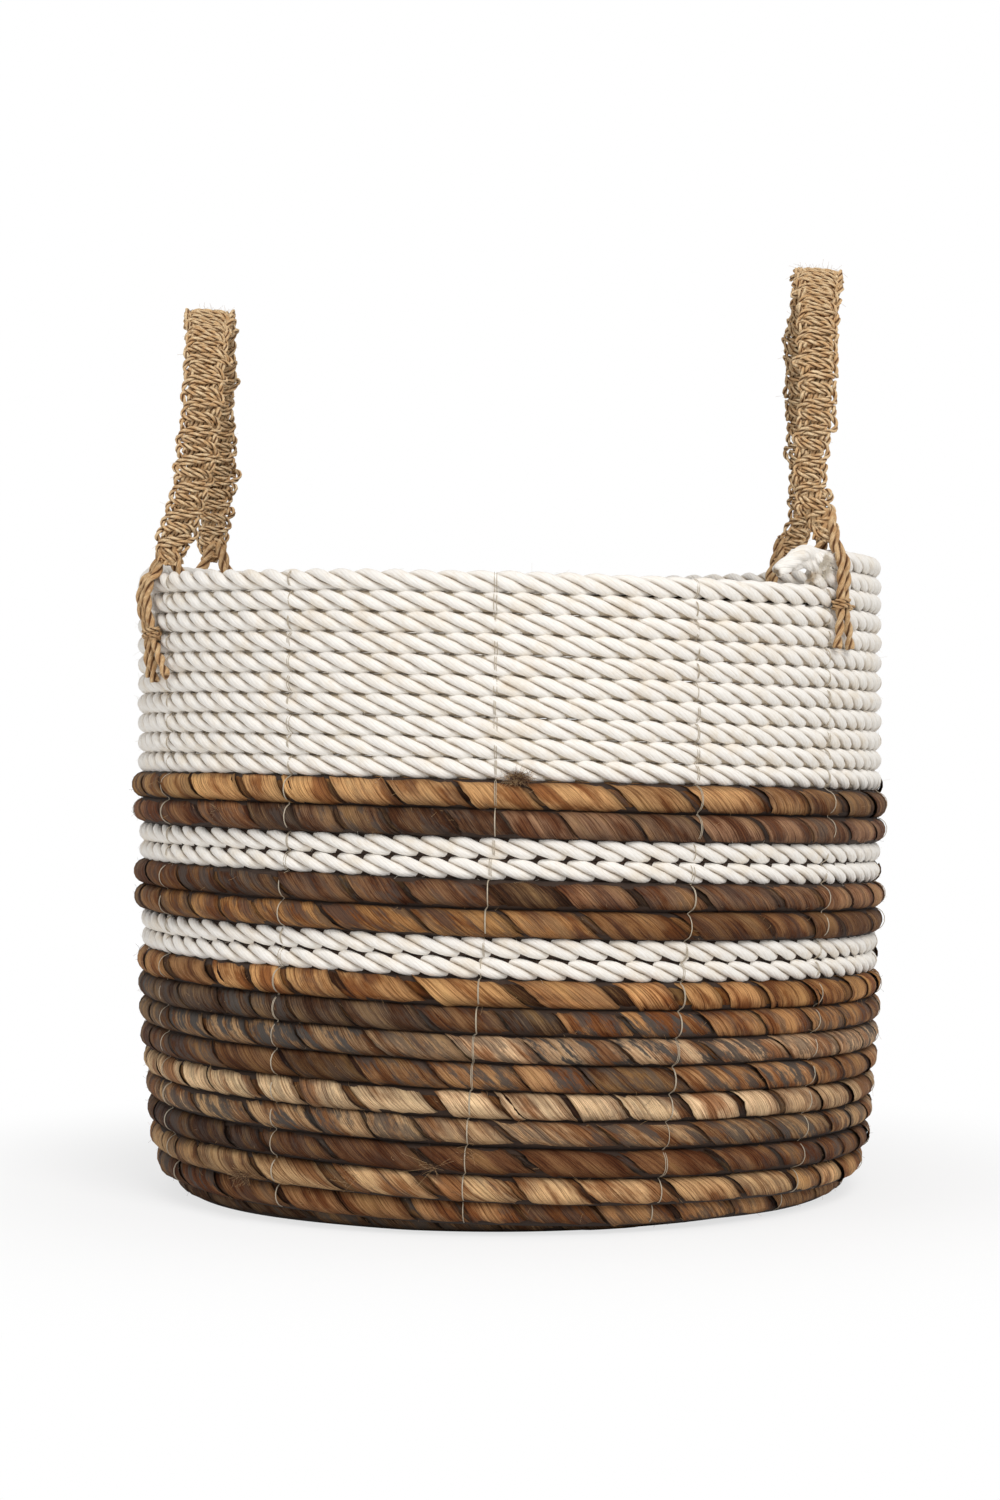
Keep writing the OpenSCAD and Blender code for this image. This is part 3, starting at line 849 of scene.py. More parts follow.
# Rows of points in a turn of the wrapping, and the places of a row's points across a strip,
# first those of its face and then those below it
ROWS_PER_TURN = 16
ACROSS = np.array([0.0, 0.02, 0.06, 0.14, 0.26, 0.4, 0.55, 0.7, 0.83, 0.93, 0.98, 1.0])
UNDER = np.array([0.97, 0.7, 0.35, 0.04])
# Which of the face's points those below it follow
UNDER_COLUMNS = [10, 7, 4, 1]
# The strips' point values
BARK_VALUES = (("tint", "FLOAT_COLOR"), ("fibre", "FLOAT_VECTOR"), ("grey", "FLOAT"),
               ("shade", "FLOAT"))
# Polar angles between which a course's main colours are listed
FRONT = (180.0, 360.0)


# How far the second strip reaches under the main one on each side
OVERLAP = 2.5 * MM
# Shortest and longest turn of the wrapping, as shares of the usual one
UNEVEN_TURNS = (0.62, 1.45)
# Where on the coil a turn starts, in radians round it from its outer side
STRIP_START = 0.6
# Height of a strip's crown, unevenness of its edges, depth of its folds, and its swell
CROWN, RAGGED, FOLDED, SWELL = 0.55 * MM, 0.35 * MM, 0.22 * MM, 0.4 * MM
# Turn of the wrapping as a length in the fibre pattern, which keeps one scale round the coil
FIBRE_TURN = 0.045


class WoundLine:
    """A coil's line with its directions outwards and upwards, its run and polar angle."""

    def __init__(self, points):
        tangent = unit(np.gradient(points, axis=0))
        outward = unit(points * [1, 1, 0])
        outward = unit(outward - tangent * (outward * tangent).sum(1, keepdims=True))
        self.values = np.c_[points, outward, np.cross(outward, tangent)]
        self.run = run_length(points)
        polar = np.degrees(np.unwrap(np.arctan2(points[:, 1], points[:, 0])))
        self.polar = polar + 360 * (polar[0] < -1)

    def around(self, s, angle, depth, wide):
        """Points at lengths s, turned by an angle round the line and depth away from it."""
        s = np.clip(s, self.run[0], self.run[-1])
        point, outward, upward = np.split(
            np.stack([np.interp(s, self.run, column) for column in self.values.T], -1), 3, -1)
        return point + depth[..., None] * (wide * np.cos(angle)[..., None] * outward
                                           + np.sin(angle)[..., None] * upward)


def wrapping_rows(run, share, seed, rows):
    """Rows of an uneven hand wrapping: turns, where the main strip starts and ends, next turn."""
    usual = bpy.context.scene.basket_bark.turn
    draw = np.random.default_rng(seed)
    places = [-usual]
    while places[-1] < run + 2 * usual:
        places.append(places[-1] + usual * draw.uniform(*UNEVEN_TURNS))
    # The turns' places are evened out on a grid of this many points a turn
    fine = 12
    turns = np.arange(0, (len(places) - 2) * rows + 1) / rows
    grid = smoothed(np.interp(np.arange(len(places) * fine) / fine, np.arange(len(places)),
                              places), fine)
    begins, ends = (np.interp((turns + k) * fine, np.arange(len(grid)), grid) for k in (0, 1))
    share = share + wander(seed * 3, len(turns), rows * 1.4, (1 - share) * 0.75)
    keep = (ends > 0) & (begins < run)
    turns, begins, ends, share = turns[keep], begins[keep], ends[keep], share[keep]
    return turns, begins, begins + (ends - begins) * share, ends


def strip_depth(main, u, near, far, lift, seed, rows):
    """Distance of a strip's points from the coil's line: crown, lifted edges, folds, swell."""
    sizes = bpy.context.scene.basket_bark
    number_ = len(near)
    rise = CROWN * (np.sin(np.pi * u) - 0.6)
    if main:
        raised = np.clip(wander(seed * 5, number_, rows * 0.3) + 0.3, 0.15, 1)[:, None]
        back = np.clip(wander(seed * 5 + 1, number_, rows * 0.4), 0.0, 1)[:, None]
        rise = rise + lift * sizes.lift * (raised * np.exp(-(near / 2.2) ** 1.5)
                                           + 0.8 * back * np.exp(-(far / 2.0) ** 1.5))
    else:
        sunk = 0.75 + 0.4 * wander(seed * 5 + 2, number_, rows)
        rise = rise - sizes.recess * sunk[:, None]
    folds = np.stack([wander(seed * 31 + (0 if main else 17) + k, number_, rows * 0.55, FOLDED)
                      for k in range(len(ACROSS))], -1)
    folds = np.c_[folds, folds[:, UNDER_COLUMNS]]
    swell = wander(seed * 37, number_, rows * 1.2, SWELL)[:, None]
    depth = sizes.radius + rise + folds + swell
    depth[:, len(ACROSS):] -= sizes.thickness
    return depth


def main_tints(codes, polar, draw, seed, rows):
    """Colour of each row of the main strip: along the front, and back again behind."""
    number_ = len(polar)
    shown = (polar - FRONT[0]) % 360 / (FRONT[1] - FRONT[0])
    shown = np.where(shown > 1, 2 - shown, shown) * (len(codes) - 1)
    shown = shown + wander(seed * 17, number_, rows * 0.9, 0.55)
    palette = np.array([linear(c) for c in codes])
    pick = np.stack([np.interp(shown, np.arange(len(codes)), column) for column in palette.T], -1)
    light = draw.uniform(0.80, 1.18, number_ // rows + 2)[np.arange(number_) // rows]
    return pick * (light * (1 + wander(seed * 11, number_, rows * 1.3, 0.10)))[:, None]


def second_tints(codes, number_, draw, seed, rows):
    """Colour of each row of the second strip, another one at each turn."""
    picks = draw.integers(len(codes), size=number_ // rows + 2)[np.arange(number_) // rows]
    light = 1 + wander(seed * 11 + 1, number_, rows * 0.7, 0.3)
    return np.array([linear(c) for c in codes])[picks] * light[:, None]


def bark_strips(name, points, looks, seed, rows=ROWS_PER_TURN, wide=1.0):
    """A wide bark strip wound round a course's line over a narrow, deeper one."""
    mains, seconds, grey, lift, share = looks
    line = WoundLine(points)
    turns, begins, edges, ends = wrapping_rows(line.run[-1], share, seed, rows)
    number_ = len(turns)
    u = np.r_[ACROSS, UNDER]
    angle = np.repeat((STRIP_START - TURN * turns)[:, None], len(u), 1)
    faces, parts, at = [], [], 0
    for strip, (low, high) in enumerate(((begins, edges), (edges - OVERLAP, ends + OVERLAP))):
        main = strip == 0
        draw = np.random.default_rng(seed * 7 + strip)
        s = low[:, None] + (high - low)[:, None] * u
        ragged = draw.normal(0, RAGGED, (number_, 2))
        for k, edge in enumerate((u < 0.05, u > 0.95)):
            s = s + ragged[:, k:k + 1] * edge
        width = (high - low)[:, None] / MM
        near, far = u * width, (1 - u) * width
        place = line.around(s, angle, strip_depth(main, u, near, far, lift, seed, rows), wide)
        place[..., 2] = np.maximum(place[..., 2], CLEAR)
        if main:
            tint = main_tints(mains, np.interp(begins, line.run, line.polar), draw, seed, rows)
            # Painted shade: darker towards both edges of the main strip, most towards its far edge
            painted_shade_mask = np.clip(1 - far / 4.0, 0, 1) * 0.6 + np.clip(1 - near / 1.2, 0, 1) * 0.35
        else:
            tint = second_tints(seconds, number_, draw, seed, rows)
            # Painted shade: the second strip is darker towards both its edges, where the main strip
            # lies over it
            painted_shade_mask = np.clip(1 - np.minimum(near, far) / 5.0, 0, 1) * 0.9
        # Painted shade at the top and bottom of each turn, where the courses meet
        painted_shade_mask = np.maximum(painted_shade_mask, 0.5 * np.abs(np.sin(angle)) ** 5)
        # The strips' undersides are fully in painted shade
        painted_shade_mask[:, len(ACROSS):] = 1.0
        patch = np.clip(grey * (0.7 + wander(seed * 13 + strip, number_, rows * 1.6, 0.75)), 0, 1)
        fibre = np.stack([np.broadcast_to(turns[:, None] * FIBRE_TURN, s.shape), s - low[:, None],
                          np.full_like(s, seed * 0.11 + strip * 0.37)], -1)
        faces += [[i + at for i in f] for f in lofted(place)]
        at += s.size
        parts.append((place.reshape(-1, 3), np.repeat(np.c_[tint, np.ones(number_)], len(u), 0),
                      fibre.reshape(-1, 3), np.repeat(patch, len(u)), painted_shade_mask.ravel()))
    verts, *values = (np.concatenate(part) for part in zip(*parts))
    return mesh_object(name, verts, faces, once("bark", banana_bark_material),
                       [(*value, data) for value, data in zip(BARK_VALUES, values)])


def wrapped_coil(node, points, look, seed, core, tall, **changes):
    """Bark strips of one node and the dark core inside them, its half width and height; the core's
    near-black colour is painted shade where it shows in the gaps.
    """
    for piece in (bark_strips(node + "_wraps", points, look, seed, **changes),
                  core_tube(node + "_core", points, core, tall, "Dark core and painted gap shade")):
        seat(piece, "basket", "banana_bark", node)


# How far inside the strips a wall course's core stays, and its height as a share of its width
WALL_CORE_INSET = 1.6 * MM
WALL_CORE_TALL = 1.42


class BASKET_OT_bark_courses(bpy.types.Operator):
    """Wrap the bark courses of the wall"""
    bl_idname = "basket.bark_courses"
    bl_label = "Bark courses"

    def execute(self, context):
        looks = enumerate(BARK_LOOKS)
        for seed, (kind, nodes) in enumerate(bands()):
            if kind != "bark":
                continue
            degrees, radius, height = coil_line(nodes)
            radius = radius + wander(300 + seed, len(radius), 13, 0.45 * MM)
            height = height + wander(400 + seed, len(height), 15, 0.25 * MM)
            sway = wander(450 + seed, 361, 22, 0.7 * MM)
            height = height + sway[(degrees % 360).astype(int)]
            points = along_coil(degrees, radius, height)
            for k, node in enumerate(nodes):
                row, look = next(looks)
                wrapped_coil(node, points[360 * k:360 * (k + 1) + 1], look, 50 + row,
                             context.scene.basket_bark.radius - WALL_CORE_INSET, WALL_CORE_TALL)
        return {"FINISHED"}


# Turns of the base's coil, and the degrees that its last turn lacks at the middle
BASE_TURNS = 12
BASE_SHORT = 130
# Which wall course's look each base node has
BASE_LOOKS = (12, 8, 10, 7)
BASE_ROWS_PER_TURN = 12
# The base's strips are a little wider than high, and its core flatter
BASE_WIDE, BASE_TALL = 1.06, 0.68


class BASKET_OT_base_coil(bpy.types.Operator):
    """Wrap the flat coil of the base from its rim to the middle"""
    bl_idname = "basket.base_coil"
    bl_label = "Base coil"

    def execute(self, context):
        boxes = [node_points(node) for node in BASE_NODES]
        reaches = [np.hypot(points[:, 0], points[:, 1]).max() for points in boxes]
        low, high = boxes[-1][:, 2].min(), boxes[-1][:, 2].max()
        degrees = np.arange(0, 360 * BASE_TURNS - BASE_SHORT, STEP_DEGREES)
        pitch = (reaches[0] - reaches[1]) * len(BASE_NODES) / BASE_TURNS
        # Half of each turn keeps its radius, the other half comes in by one course
        past_half = np.maximum(0, degrees % 360 - 180)
        radius = reaches[0] - (high - low) / 2 \
            - pitch * (degrees // 360 + (1 - np.cos(np.radians(past_half))) / 2)
        radius = radius + wander(500, len(radius), 17, 0.25 * MM)
        line = along_coil(degrees, radius, np.full(len(radius), (low + high) / 2))
        own = 360 * BASE_TURNS // len(BASE_NODES)
        for k, node in enumerate(BASE_NODES):
            wrapped_coil(node, line[own * k:own * (k + 1) + 1], BARK_LOOKS[BASE_LOOKS[k]],
                         80 + k, pitch * 0.53, BASE_TALL, rows=BASE_ROWS_PER_TURN,
                         wide=BASE_WIDE)
        return {"FINISHED"}


# ---------------------------------------------------------------- stitches


def wall_lines():
    """Line of each wall course, and the distance of its surface from the line."""
    bark = bpy.context.scene.basket_bark.radius
    rope = bpy.context.scene.basket_rope.offset + bpy.context.scene.basket_rope.strand_width / 2
    return [(once("line " + node, lambda: CourseLine(node)), node.startswith("bark"),
             bark if node.startswith("bark") else rope) for node in WALL_NODES]


# Polar angle of the first row of stitches, and how far each row is from its even place
FIRST_ROW = 267.9
UNEVEN_ROWS = (0, 1.0, -0.5, 0.6, -0.8, 0.3, -0.4, 0.7, -0.6, 0.5, -0.9, -2.9, -2.5)
# How far the thread stands off the bark and sinks into the rope
BARK_STAND, ROPE_SINK = 0.5 * MM, 0.3 * MM
# The rows are upright down to this course and lean below it
UPRIGHT_COURSES = 11


class BASKET_OT_stitches(bpy.types.Operator):
    """Stitch the courses together with rows of thread"""
    bl_idname = "basket.stitches"
    bl_label = "Stitches"

    def execute(self, context):
        sizes = context.scene.basket_thread
        arc = np.radians(np.arange(70, -71, -20))
        pull = 1 - 0.12 * np.abs(np.sin(arc)) ** 3
        lines = wall_lines()[:-1]
        paths = []
        for k, uneven in enumerate(UNEVEN_ROWS):
            draw = np.random.default_rng(900 + k)
            for member in (-1, 1):
                points = []
                for i, (line, wrapped, reach) in enumerate(lines):
                    polar = FIRST_ROW + k * 360 / len(UNEVEN_ROWS) + uneven
                    polar += math.degrees(sizes.lean) * max(0, i - UPRIGHT_COURSES)
                    polar += draw.normal(0, 0.08) + (0 if wrapped else member * 0.12)
                    radius, height = (v[0] for v in line.at(np.array([polar % 360])))
                    reach += (BARK_STAND if wrapped else -ROPE_SINK) + sizes.width * 0.4
                    points.append(along_coil(polar, radius + reach * pull * np.cos(arc),
                                             height + reach * pull * np.sin(arc)))
                paths.append(np.concatenate(points))
        thread = cords("wall_stitches", paths, plain("Pale thread"),
                       {"Strand Width": sizes.width, "Step": 1.5 * MM, "Sides": 5})
        seat(thread, "basket", "nylon_thread", "wall_stitching")
        return {"FINISHED"}


# ---------------------------------------------------------------- loose fibres


# Tufts on the wall: degrees round, height, width and number of fibres, longest fibre
TUFTS = (
    (270.9, 241.5, 12.0, 520, 3.6), (227.0, 25.5, 12.0, 200, 6.0), (259.0, 38.5, 5.0, 45, 13.0),
    (264.0, 45.0, 16.0, 35, 6.0), (224.5, 224.5, 4.0, 40, 5.0), (246.0, 31.0, 14.0, 60, 6.0),
    (96.0, 60.0, 10.0, 70, 9.0), (31.0, 190.0, 8.0, 60, 8.0), (150.0, 238.0, 8.0, 80, 8.0),
)


def directions(polar):
    """Outwards and along the wall at a polar angle in radians."""
    return np.array([math.cos(polar), math.sin(polar), 0]), \
        np.array([-math.sin(polar), math.cos(polar), 0])


# Loose fibres on each bark and each rope course
BARK_FIBRES, ROPE_FIBRES = 150, 120


class BASKET_OT_fibres(bpy.types.Operator):
    """Scatter loose fibres over the courses and fray a few bark ends"""
    bl_idname = "basket.fibres"
    bl_label = "Loose fibres"

    def execute(self, context):
        lines = wall_lines()
        draw = np.random.default_rng(77)
        pale, dark, light = [], [], []
        for line, wrapped, reach in lines:
            number_ = BARK_FIBRES if wrapped else ROPE_FIBRES
            polar = draw.uniform(0, 360, number_)
            tilt = np.radians(draw.uniform(-75, 75, number_))
            for p, r, z, a in zip(np.radians(polar), *line.at(polar), tilt):
                out, along = directions(p)
                start = r * out + z * UP
                out = out * math.cos(a) + UP * math.sin(a)
                start = start + (reach - 0.2 * MM) * out
                way = out * draw.uniform(0.15, 0.6) + along * draw.normal(0, 1) \
                    + UP * draw.normal(0, 0.6)
                hairs = pale if not wrapped else (dark, light)[draw.random() < 0.5]
                hairs.append(stray(draw, start, way, 1 * MM, 3.5 * MM))
        bark = context.scene.basket_bark.radius
        for polar, height, wide, number_, longest in TUFTS:
            radius = min((line.at(np.array([polar])) for line, *_ in lines),
                         key=lambda place: abs(place[1][0] - height * MM))[0][0]
            radius += bark - 1.0 * MM
            for _ in range(number_):
                out, along = directions(math.radians(polar)
                                        + draw.normal(0, wide * MM / 4) / radius)
                start = radius * out + UP * (height + draw.normal(0, wide * 0.12)) * MM
                way = out * draw.uniform(0.1, 0.6) + along * draw.normal(0, 1.2) \
                    + UP * draw.normal(0, 0.5)
                (dark, light)[draw.random() < 0.35].append(
                    stray(draw, start, way, 3 * MM, longest * MM))
        for finish, hairs, width, slot in (("Rope fibres", pale, 0.11, "cotton_rope"),
                                           ("Dark bark fibres", dark, 0.13, "banana_bark"),
                                           ("Light bark fibres", light, 0.12, "banana_bark")):
            name = "loose_" + finish.lower().replace(" ", "_")
            seat(hair_piece(name, hairs, width * MM, finish), "basket", slot)
        return {"FINISHED"}


# ---------------------------------------------------------------- handles


# Name and the two colours of the jute in the straps and in the lashings
STRAP_JUTE = ("Golden jute", "e3bb88", "fbe2b8")
LASHING_JUTE = ("Deep jute", "cca475", "e2c498")


def jute_piece(name, paths, width, lay, step, sides, jute=STRAP_JUTE):
    """Two-ply jute cords of one thickness along several paths."""
    return cords(name, paths, once(jute[0], lambda: jute_material(*jute)), {
        "Strands": 2, "Offset": width * 0.235, "Strand Width": width * 0.56, "Lay": lay,
        "Step": step, "Sides": sides, "Lumps": 0.45})


class Arch:
    """Shape of a handle's strap, read from its frame nodes and its hinge."""

    def __init__(self, side):
        joint = next(j for j in frame["joints"] if j["name"].startswith(side))
        points = node_points(side + "_handle_strap")
        hinge = np.array(joint["axis"])
        self.foot = np.array(joint["pos_m"])
        self.slope = hinge[2] / np.linalg.norm(hinge[:2])
        self.along = unit(hinge * [1, 1, 0])
        spread_ = points - points.mean(0)
        self.across = np.linalg.svd(spread_.T @ spread_)[0][:, 2]
        if self.across[0] < 0:
            self.across = -self.across
        self.along = unit(self.along - self.across * (self.along @ self.across))
        self.up = np.cross(self.across, self.along)
        local = points - self.foot
        v, w = local @ self.along, local @ self.up
        middle = abs(v - (v.min() + v.max()) / 2) < 4 * MM
        thick = w[middle].max() - w[middle].min()
        self.radius = (v.max() - v.min() - thick) / 2
        self.start = v.min() + thick / 2
        self.leg = w.max() - thick / 2 - self.radius
        self.side = side

    def length(self):
        """From the front foot's pivot over the top to the back one's."""
        drop = 2 * self.radius * self.slope
        return self.leg + math.pi * self.radius + self.leg - drop

    def bend(self, s):
        """Sideways bend of the two legs, none at the top."""
        half = self.length() / 2
        places = np.append(LEG_PLACES, half / MM)
        front, back = (
            smoothed(np.interp(np.arange(int(half / MM)), places, leg + (0.0,)), 17)
            for leg in LEG_BENDS[self.side])
        near = np.minimum(s, 2 * half - s) / MM
        steps = np.arange(len(front))
        return MM * np.where(s < half, np.interp(near, steps, front),
                             np.interp(near, steps, back))

    def at(self, s):
        """Centre points and outward normals at lengths s from the front pivot."""
        turn = np.clip((s - self.leg) / self.radius, 0, math.pi)
        low = np.minimum(s, self.leg)
        rest = np.maximum(s - self.leg - math.pi * self.radius, 0)
        v = self.start + self.radius * (1 - np.cos(turn))
        w = low + self.radius * np.sin(turn) - rest
        centre = (self.foot + v[:, None] * self.along + w[:, None] * self.up
                  + self.bend(s)[:, None] * self.across)
        normal = (-np.cos(turn)[:, None] * self.along + np.sin(turn)[:, None] * self.up)
        return centre, normal

    def place(self, s, x, n):
        """Points at lengths s, x across the strap and n out of it."""
        centre, normal = self.at(s)
        return centre + x[:, None] * self.across + n[:, None] * normal

    def half_width(self, s, full):
        """Half width of the strap at s, gathered at both feet."""
        near = np.minimum(s, self.length() - s)
        t = np.clip((near - NECK[0]) / (NECK[1] - NECK[0]), 0, 1)
        places, widths = WIDTHS[self.side]
        along = np.interp(near, places, widths)
        return GATHERED + (full * along - GATHERED) * t * t * (3 - 2 * t)


# Sideways bend of each handle's front and back leg, in mm, at distances in mm from the foot
LEG_PLACES = (0, 8, 25, 45, 60, 75, 90, 105, 120, 150, 180)
LEG_BENDS = {
    "left": ((0.0, 2.0, 6.8, 10.6, 11.2, 11.5, 11.3, 10.5, 9.0, 5.8, 2.1),
             (-4.5, -5.4, -5.0, -3.9, -3.2, -4.4, -6.0, -5.3, -3.9, -3.8, -2.0)),
    "right": ((-1.0, -7.0, -12.3, -12.3, -10.6, -10.0, -10.0, -10.2, -9.7, -8.3, -6.5),
              (3.0, 8.0, 13.0, 13.0, 11.8, 9.8, 7.6, 5.9, 4.2, 1.5, 2.5)),
}
# Half width of a strap at distances in metres from its foot, as a share of the full one
WIDTHS = {
    "left": ((0.0, 0.008, 0.025, 0.06, 0.12, 0.15, 0.18), (0.6, 0.72, 0.7, 0.72, 0.8, 0.91, 1.0)),
    "right": ((0.0, 0.008, 0.025, 0.04, 0.065, 0.105, 0.15, 0.2),
              (0.5, 0.58, 0.59, 0.56, 0.67, 0.76, 0.82, 0.95)),
}
# Lengths above its foot between which a strap widens from its gathered half width
NECK = (-6 * MM, 11 * MM)
GATHERED = 4.5 * MM
# Points along one half knot
HALF_STEPS = 20
# Fuzz of a strap: number of fibres, and how far from the strap's middle they start
FUZZ_HAIRS = 900
FUZZ_REACH = 5.0 * MM


def flattened(wave, power):
    """Wave that stays longer near its crests, the more so the lower the power."""
    return np.sign(wave) * np.abs(wave) ** power


def knot_paths(arch, seed):
    """Doubled cords of a square-knot strap: one pair passes in front, one behind."""
    sizes = bpy.context.scene.basket_jute
    first, last = NECK[0] + 1.5 * MM, arch.length() - NECK[0] - 1.5 * MM
    halves = int((last - first) / sizes.pitch)
    pitch = (last - first) / halves
    t = np.arange(halves * HALF_STEPS + 1) / HALF_STEPS
    half = np.minimum(t.astype(int), halves - 1)
    slant = np.where(half % 2, 0.25, 0.72) + wander(seed + 3, halves, 1, 0.2)[half]
    swing = np.cos(math.pi * t)
    paths = []
    for strand, way in ((0, 1), (1, -1)):
        shift = wander(seed + 5 + strand, len(t), HALF_STEPS * 0.8, 0.7 * MM)
        s = first + pitch * (t + slant * np.sin(TURN * t) / TURN) + shift
        wide = arch.half_width(s, sizes.half_width)
        loose = np.clip(wander(seed + 9 + strand, len(t), HALF_STEPS * 0.5, 1.0), -0.3, 1) ** 3
        wide = wide * (1 + wander(seed + 10 + strand, len(t), HALF_STEPS * 1.1, 0.05)) \
            + 3.5 * MM * np.where(loose > 0, loose, 0)
        high = 3.9 * MM * np.clip(wide / (9 * MM), 0.6, 1)
        if way > 0:
            x = wide * flattened(swing, 0.75)
            n = high * (1 - 1.35 * np.abs(swing) ** 5)
        else:
            x = -(wide - 0.4 * MM) * flattened(swing, 0.5)
            n = high * (-1 + 2.05 * np.abs(swing) ** 3.5)
        n = n + wander(seed + 13 + strand, len(t), HALF_STEPS * 0.5, 0.4 * MM)
        dx, ds = np.gradient(x), np.gradient(s)
        size = np.hypot(dx, ds)
        for member in (-1, 1):
            off = member * sizes.cord * 0.5
            jitter = 1 + wander(seed + 17 + strand + member, len(t), HALF_STEPS * 0.5, 0.35)
            lift = member * wander(seed + 23 + strand, len(t), HALF_STEPS * 0.7, 0.7 * MM)
            paths.append(arch.place(s - off * jitter * dx / size,
                                    x + off * jitter * ds / size, n + lift))
    return paths


class BASKET_OT_handles(bpy.types.Operator):
    """Knot the two jute strap handles round their filler cords"""
    bl_idname = "basket.handles"
    bl_label = "Handles"

    def execute(self, context):
        sizes = context.scene.basket_jute
        for seed, side in ((600, "left"), (700, "right")):
            arch = once("arch " + side, lambda: Arch(side))
            knots = jute_piece(side + "_handle_knots", knot_paths(arch, seed),
                               sizes.cord, 13 * MM, 1.5 * MM, 6)
            seat(knots, side + "_handle", "jute_cord", side + "_handle_strap")
            s = np.arange(NECK[0], arch.length() - NECK[0], 3 * MM)
            lanes = (np.arange(sizes.fillers) - (sizes.fillers - 1) / 2) / (sizes.fillers / 2)
            fillers = [
                arch.place(s, lane * (arch.half_width(s, sizes.half_width) - 1.5 * MM)
                           + wander(seed + 40 + k, len(s), 7, 0.5 * MM),
                           wander(seed + 50 + k, len(s), 6, 0.5 * MM))
                for k, lane in enumerate(lanes)
            ]
            draw = np.random.default_rng(seed + 70)
            hairs = []
            for _ in range(FUZZ_HAIRS):
                at = np.array([draw.uniform(NECK[0] + 6 * MM, arch.length() - NECK[0] - 6 * MM)])
                lane = draw.uniform(-1, 1) * arch.half_width(at, sizes.half_width)
                face = draw.choice([-1, 1]) * FUZZ_REACH
                start = arch.place(at, lane, np.array([face]))[0]
                outer = unit(start - arch.at(at)[0][0])
                hairs.append(stray(draw, start, outer + draw.normal(0, 1.2, 3),
                                   1.5 * MM, 4.5 * MM))
            fuzz = hair_piece(side + "_handle_fuzz", hairs, 0.12 * MM, "Light bark fibres")
            seat(fuzz, side + "_handle", "jute_cord")
            core = jute_piece(side + "_handle_fillers", fillers,
                              sizes.filler, 14 * MM, 2.4 * MM, 7)
            seat(core, side + "_handle", "jute_core", side + "_handle_core")
        return {"FINISHED"}


class Foot:
    """Place of a handle's foot on the rim: outwards, sideways along the rim and up."""

    def __init__(self, node):
        points = node_points(node)
        self.out = unit(points.mean(0) * [1, 1, 0])
        self.side = np.cross(UP, self.out)
        local = points @ np.stack([self.out, self.side, UP], -1)
        sizes = bpy.context.scene.basket_jute
        self.reach = (local[:, 0].max() - local[:, 0].min() - sizes.lashing) / 2
        self.rim = (local[:, 0].max() + local[:, 0].min()) / 2
        self.sideways = (local[:, 1].max() + local[:, 1].min()) / 2
        self.top = local[:, 2].max() - sizes.lashing / 2 - self.reach

    def place(self, points):
        """Points given as outwards from the rim, sideways and above the rim's centre."""
        points = np.asarray(points, float)
        return ((points[:, :1] + self.rim) * self.out
                + (points[:, 1:2] + self.sideways) * self.side
                + (points[:, 2:] + self.top) * UP)


def curve_through(points, step=1.5 * MM):
    """Smooth line through points, resampled evenly."""
    points = np.asarray(points, float)
    padded = np.r_[[2 * points[0] - points[1]], points, [2 * points[-1] - points[-2]]]
    t = np.linspace(0, 1, 24, endpoint=False)[:, None]
    parts = []
    for a, b, c, d in zip(padded, padded[1:], padded[2:], padded[3:]):
        parts.append(0.5 * (2 * b + (c - a) * t + (2 * a - 5 * b + 4 * c - d) * t ** 2
                            + (3 * b - a - 3 * c + d) * t ** 3))
    line = np.concatenate(parts + [points[-1:]])
    run = run_length(line)
    even = np.linspace(0, run[-1], max(int(run[-1] / step), 3) + 1)
    return np.stack([np.interp(even, run, line[:, k]) for k in range(3)], -1)


# Sideways places of the outer cords, of their binding, bulge, drop of the binding and tails
LASHING_LOOKS = {
    "left": ((-18 * MM, -12 * MM, -6 * MM), -7 * MM, 3 * MM, 29 * MM,
             ((24 * MM, 2 * MM), (27 * MM, 6 * MM), (25 * MM, 22 * MM))),
    "right": ((-3.4 * MM, 3.0 * MM), -1 * MM, 1.5 * MM, 25 * MM,
              ((24 * MM, -3 * MM), (24 * MM, 8 * MM))),
}


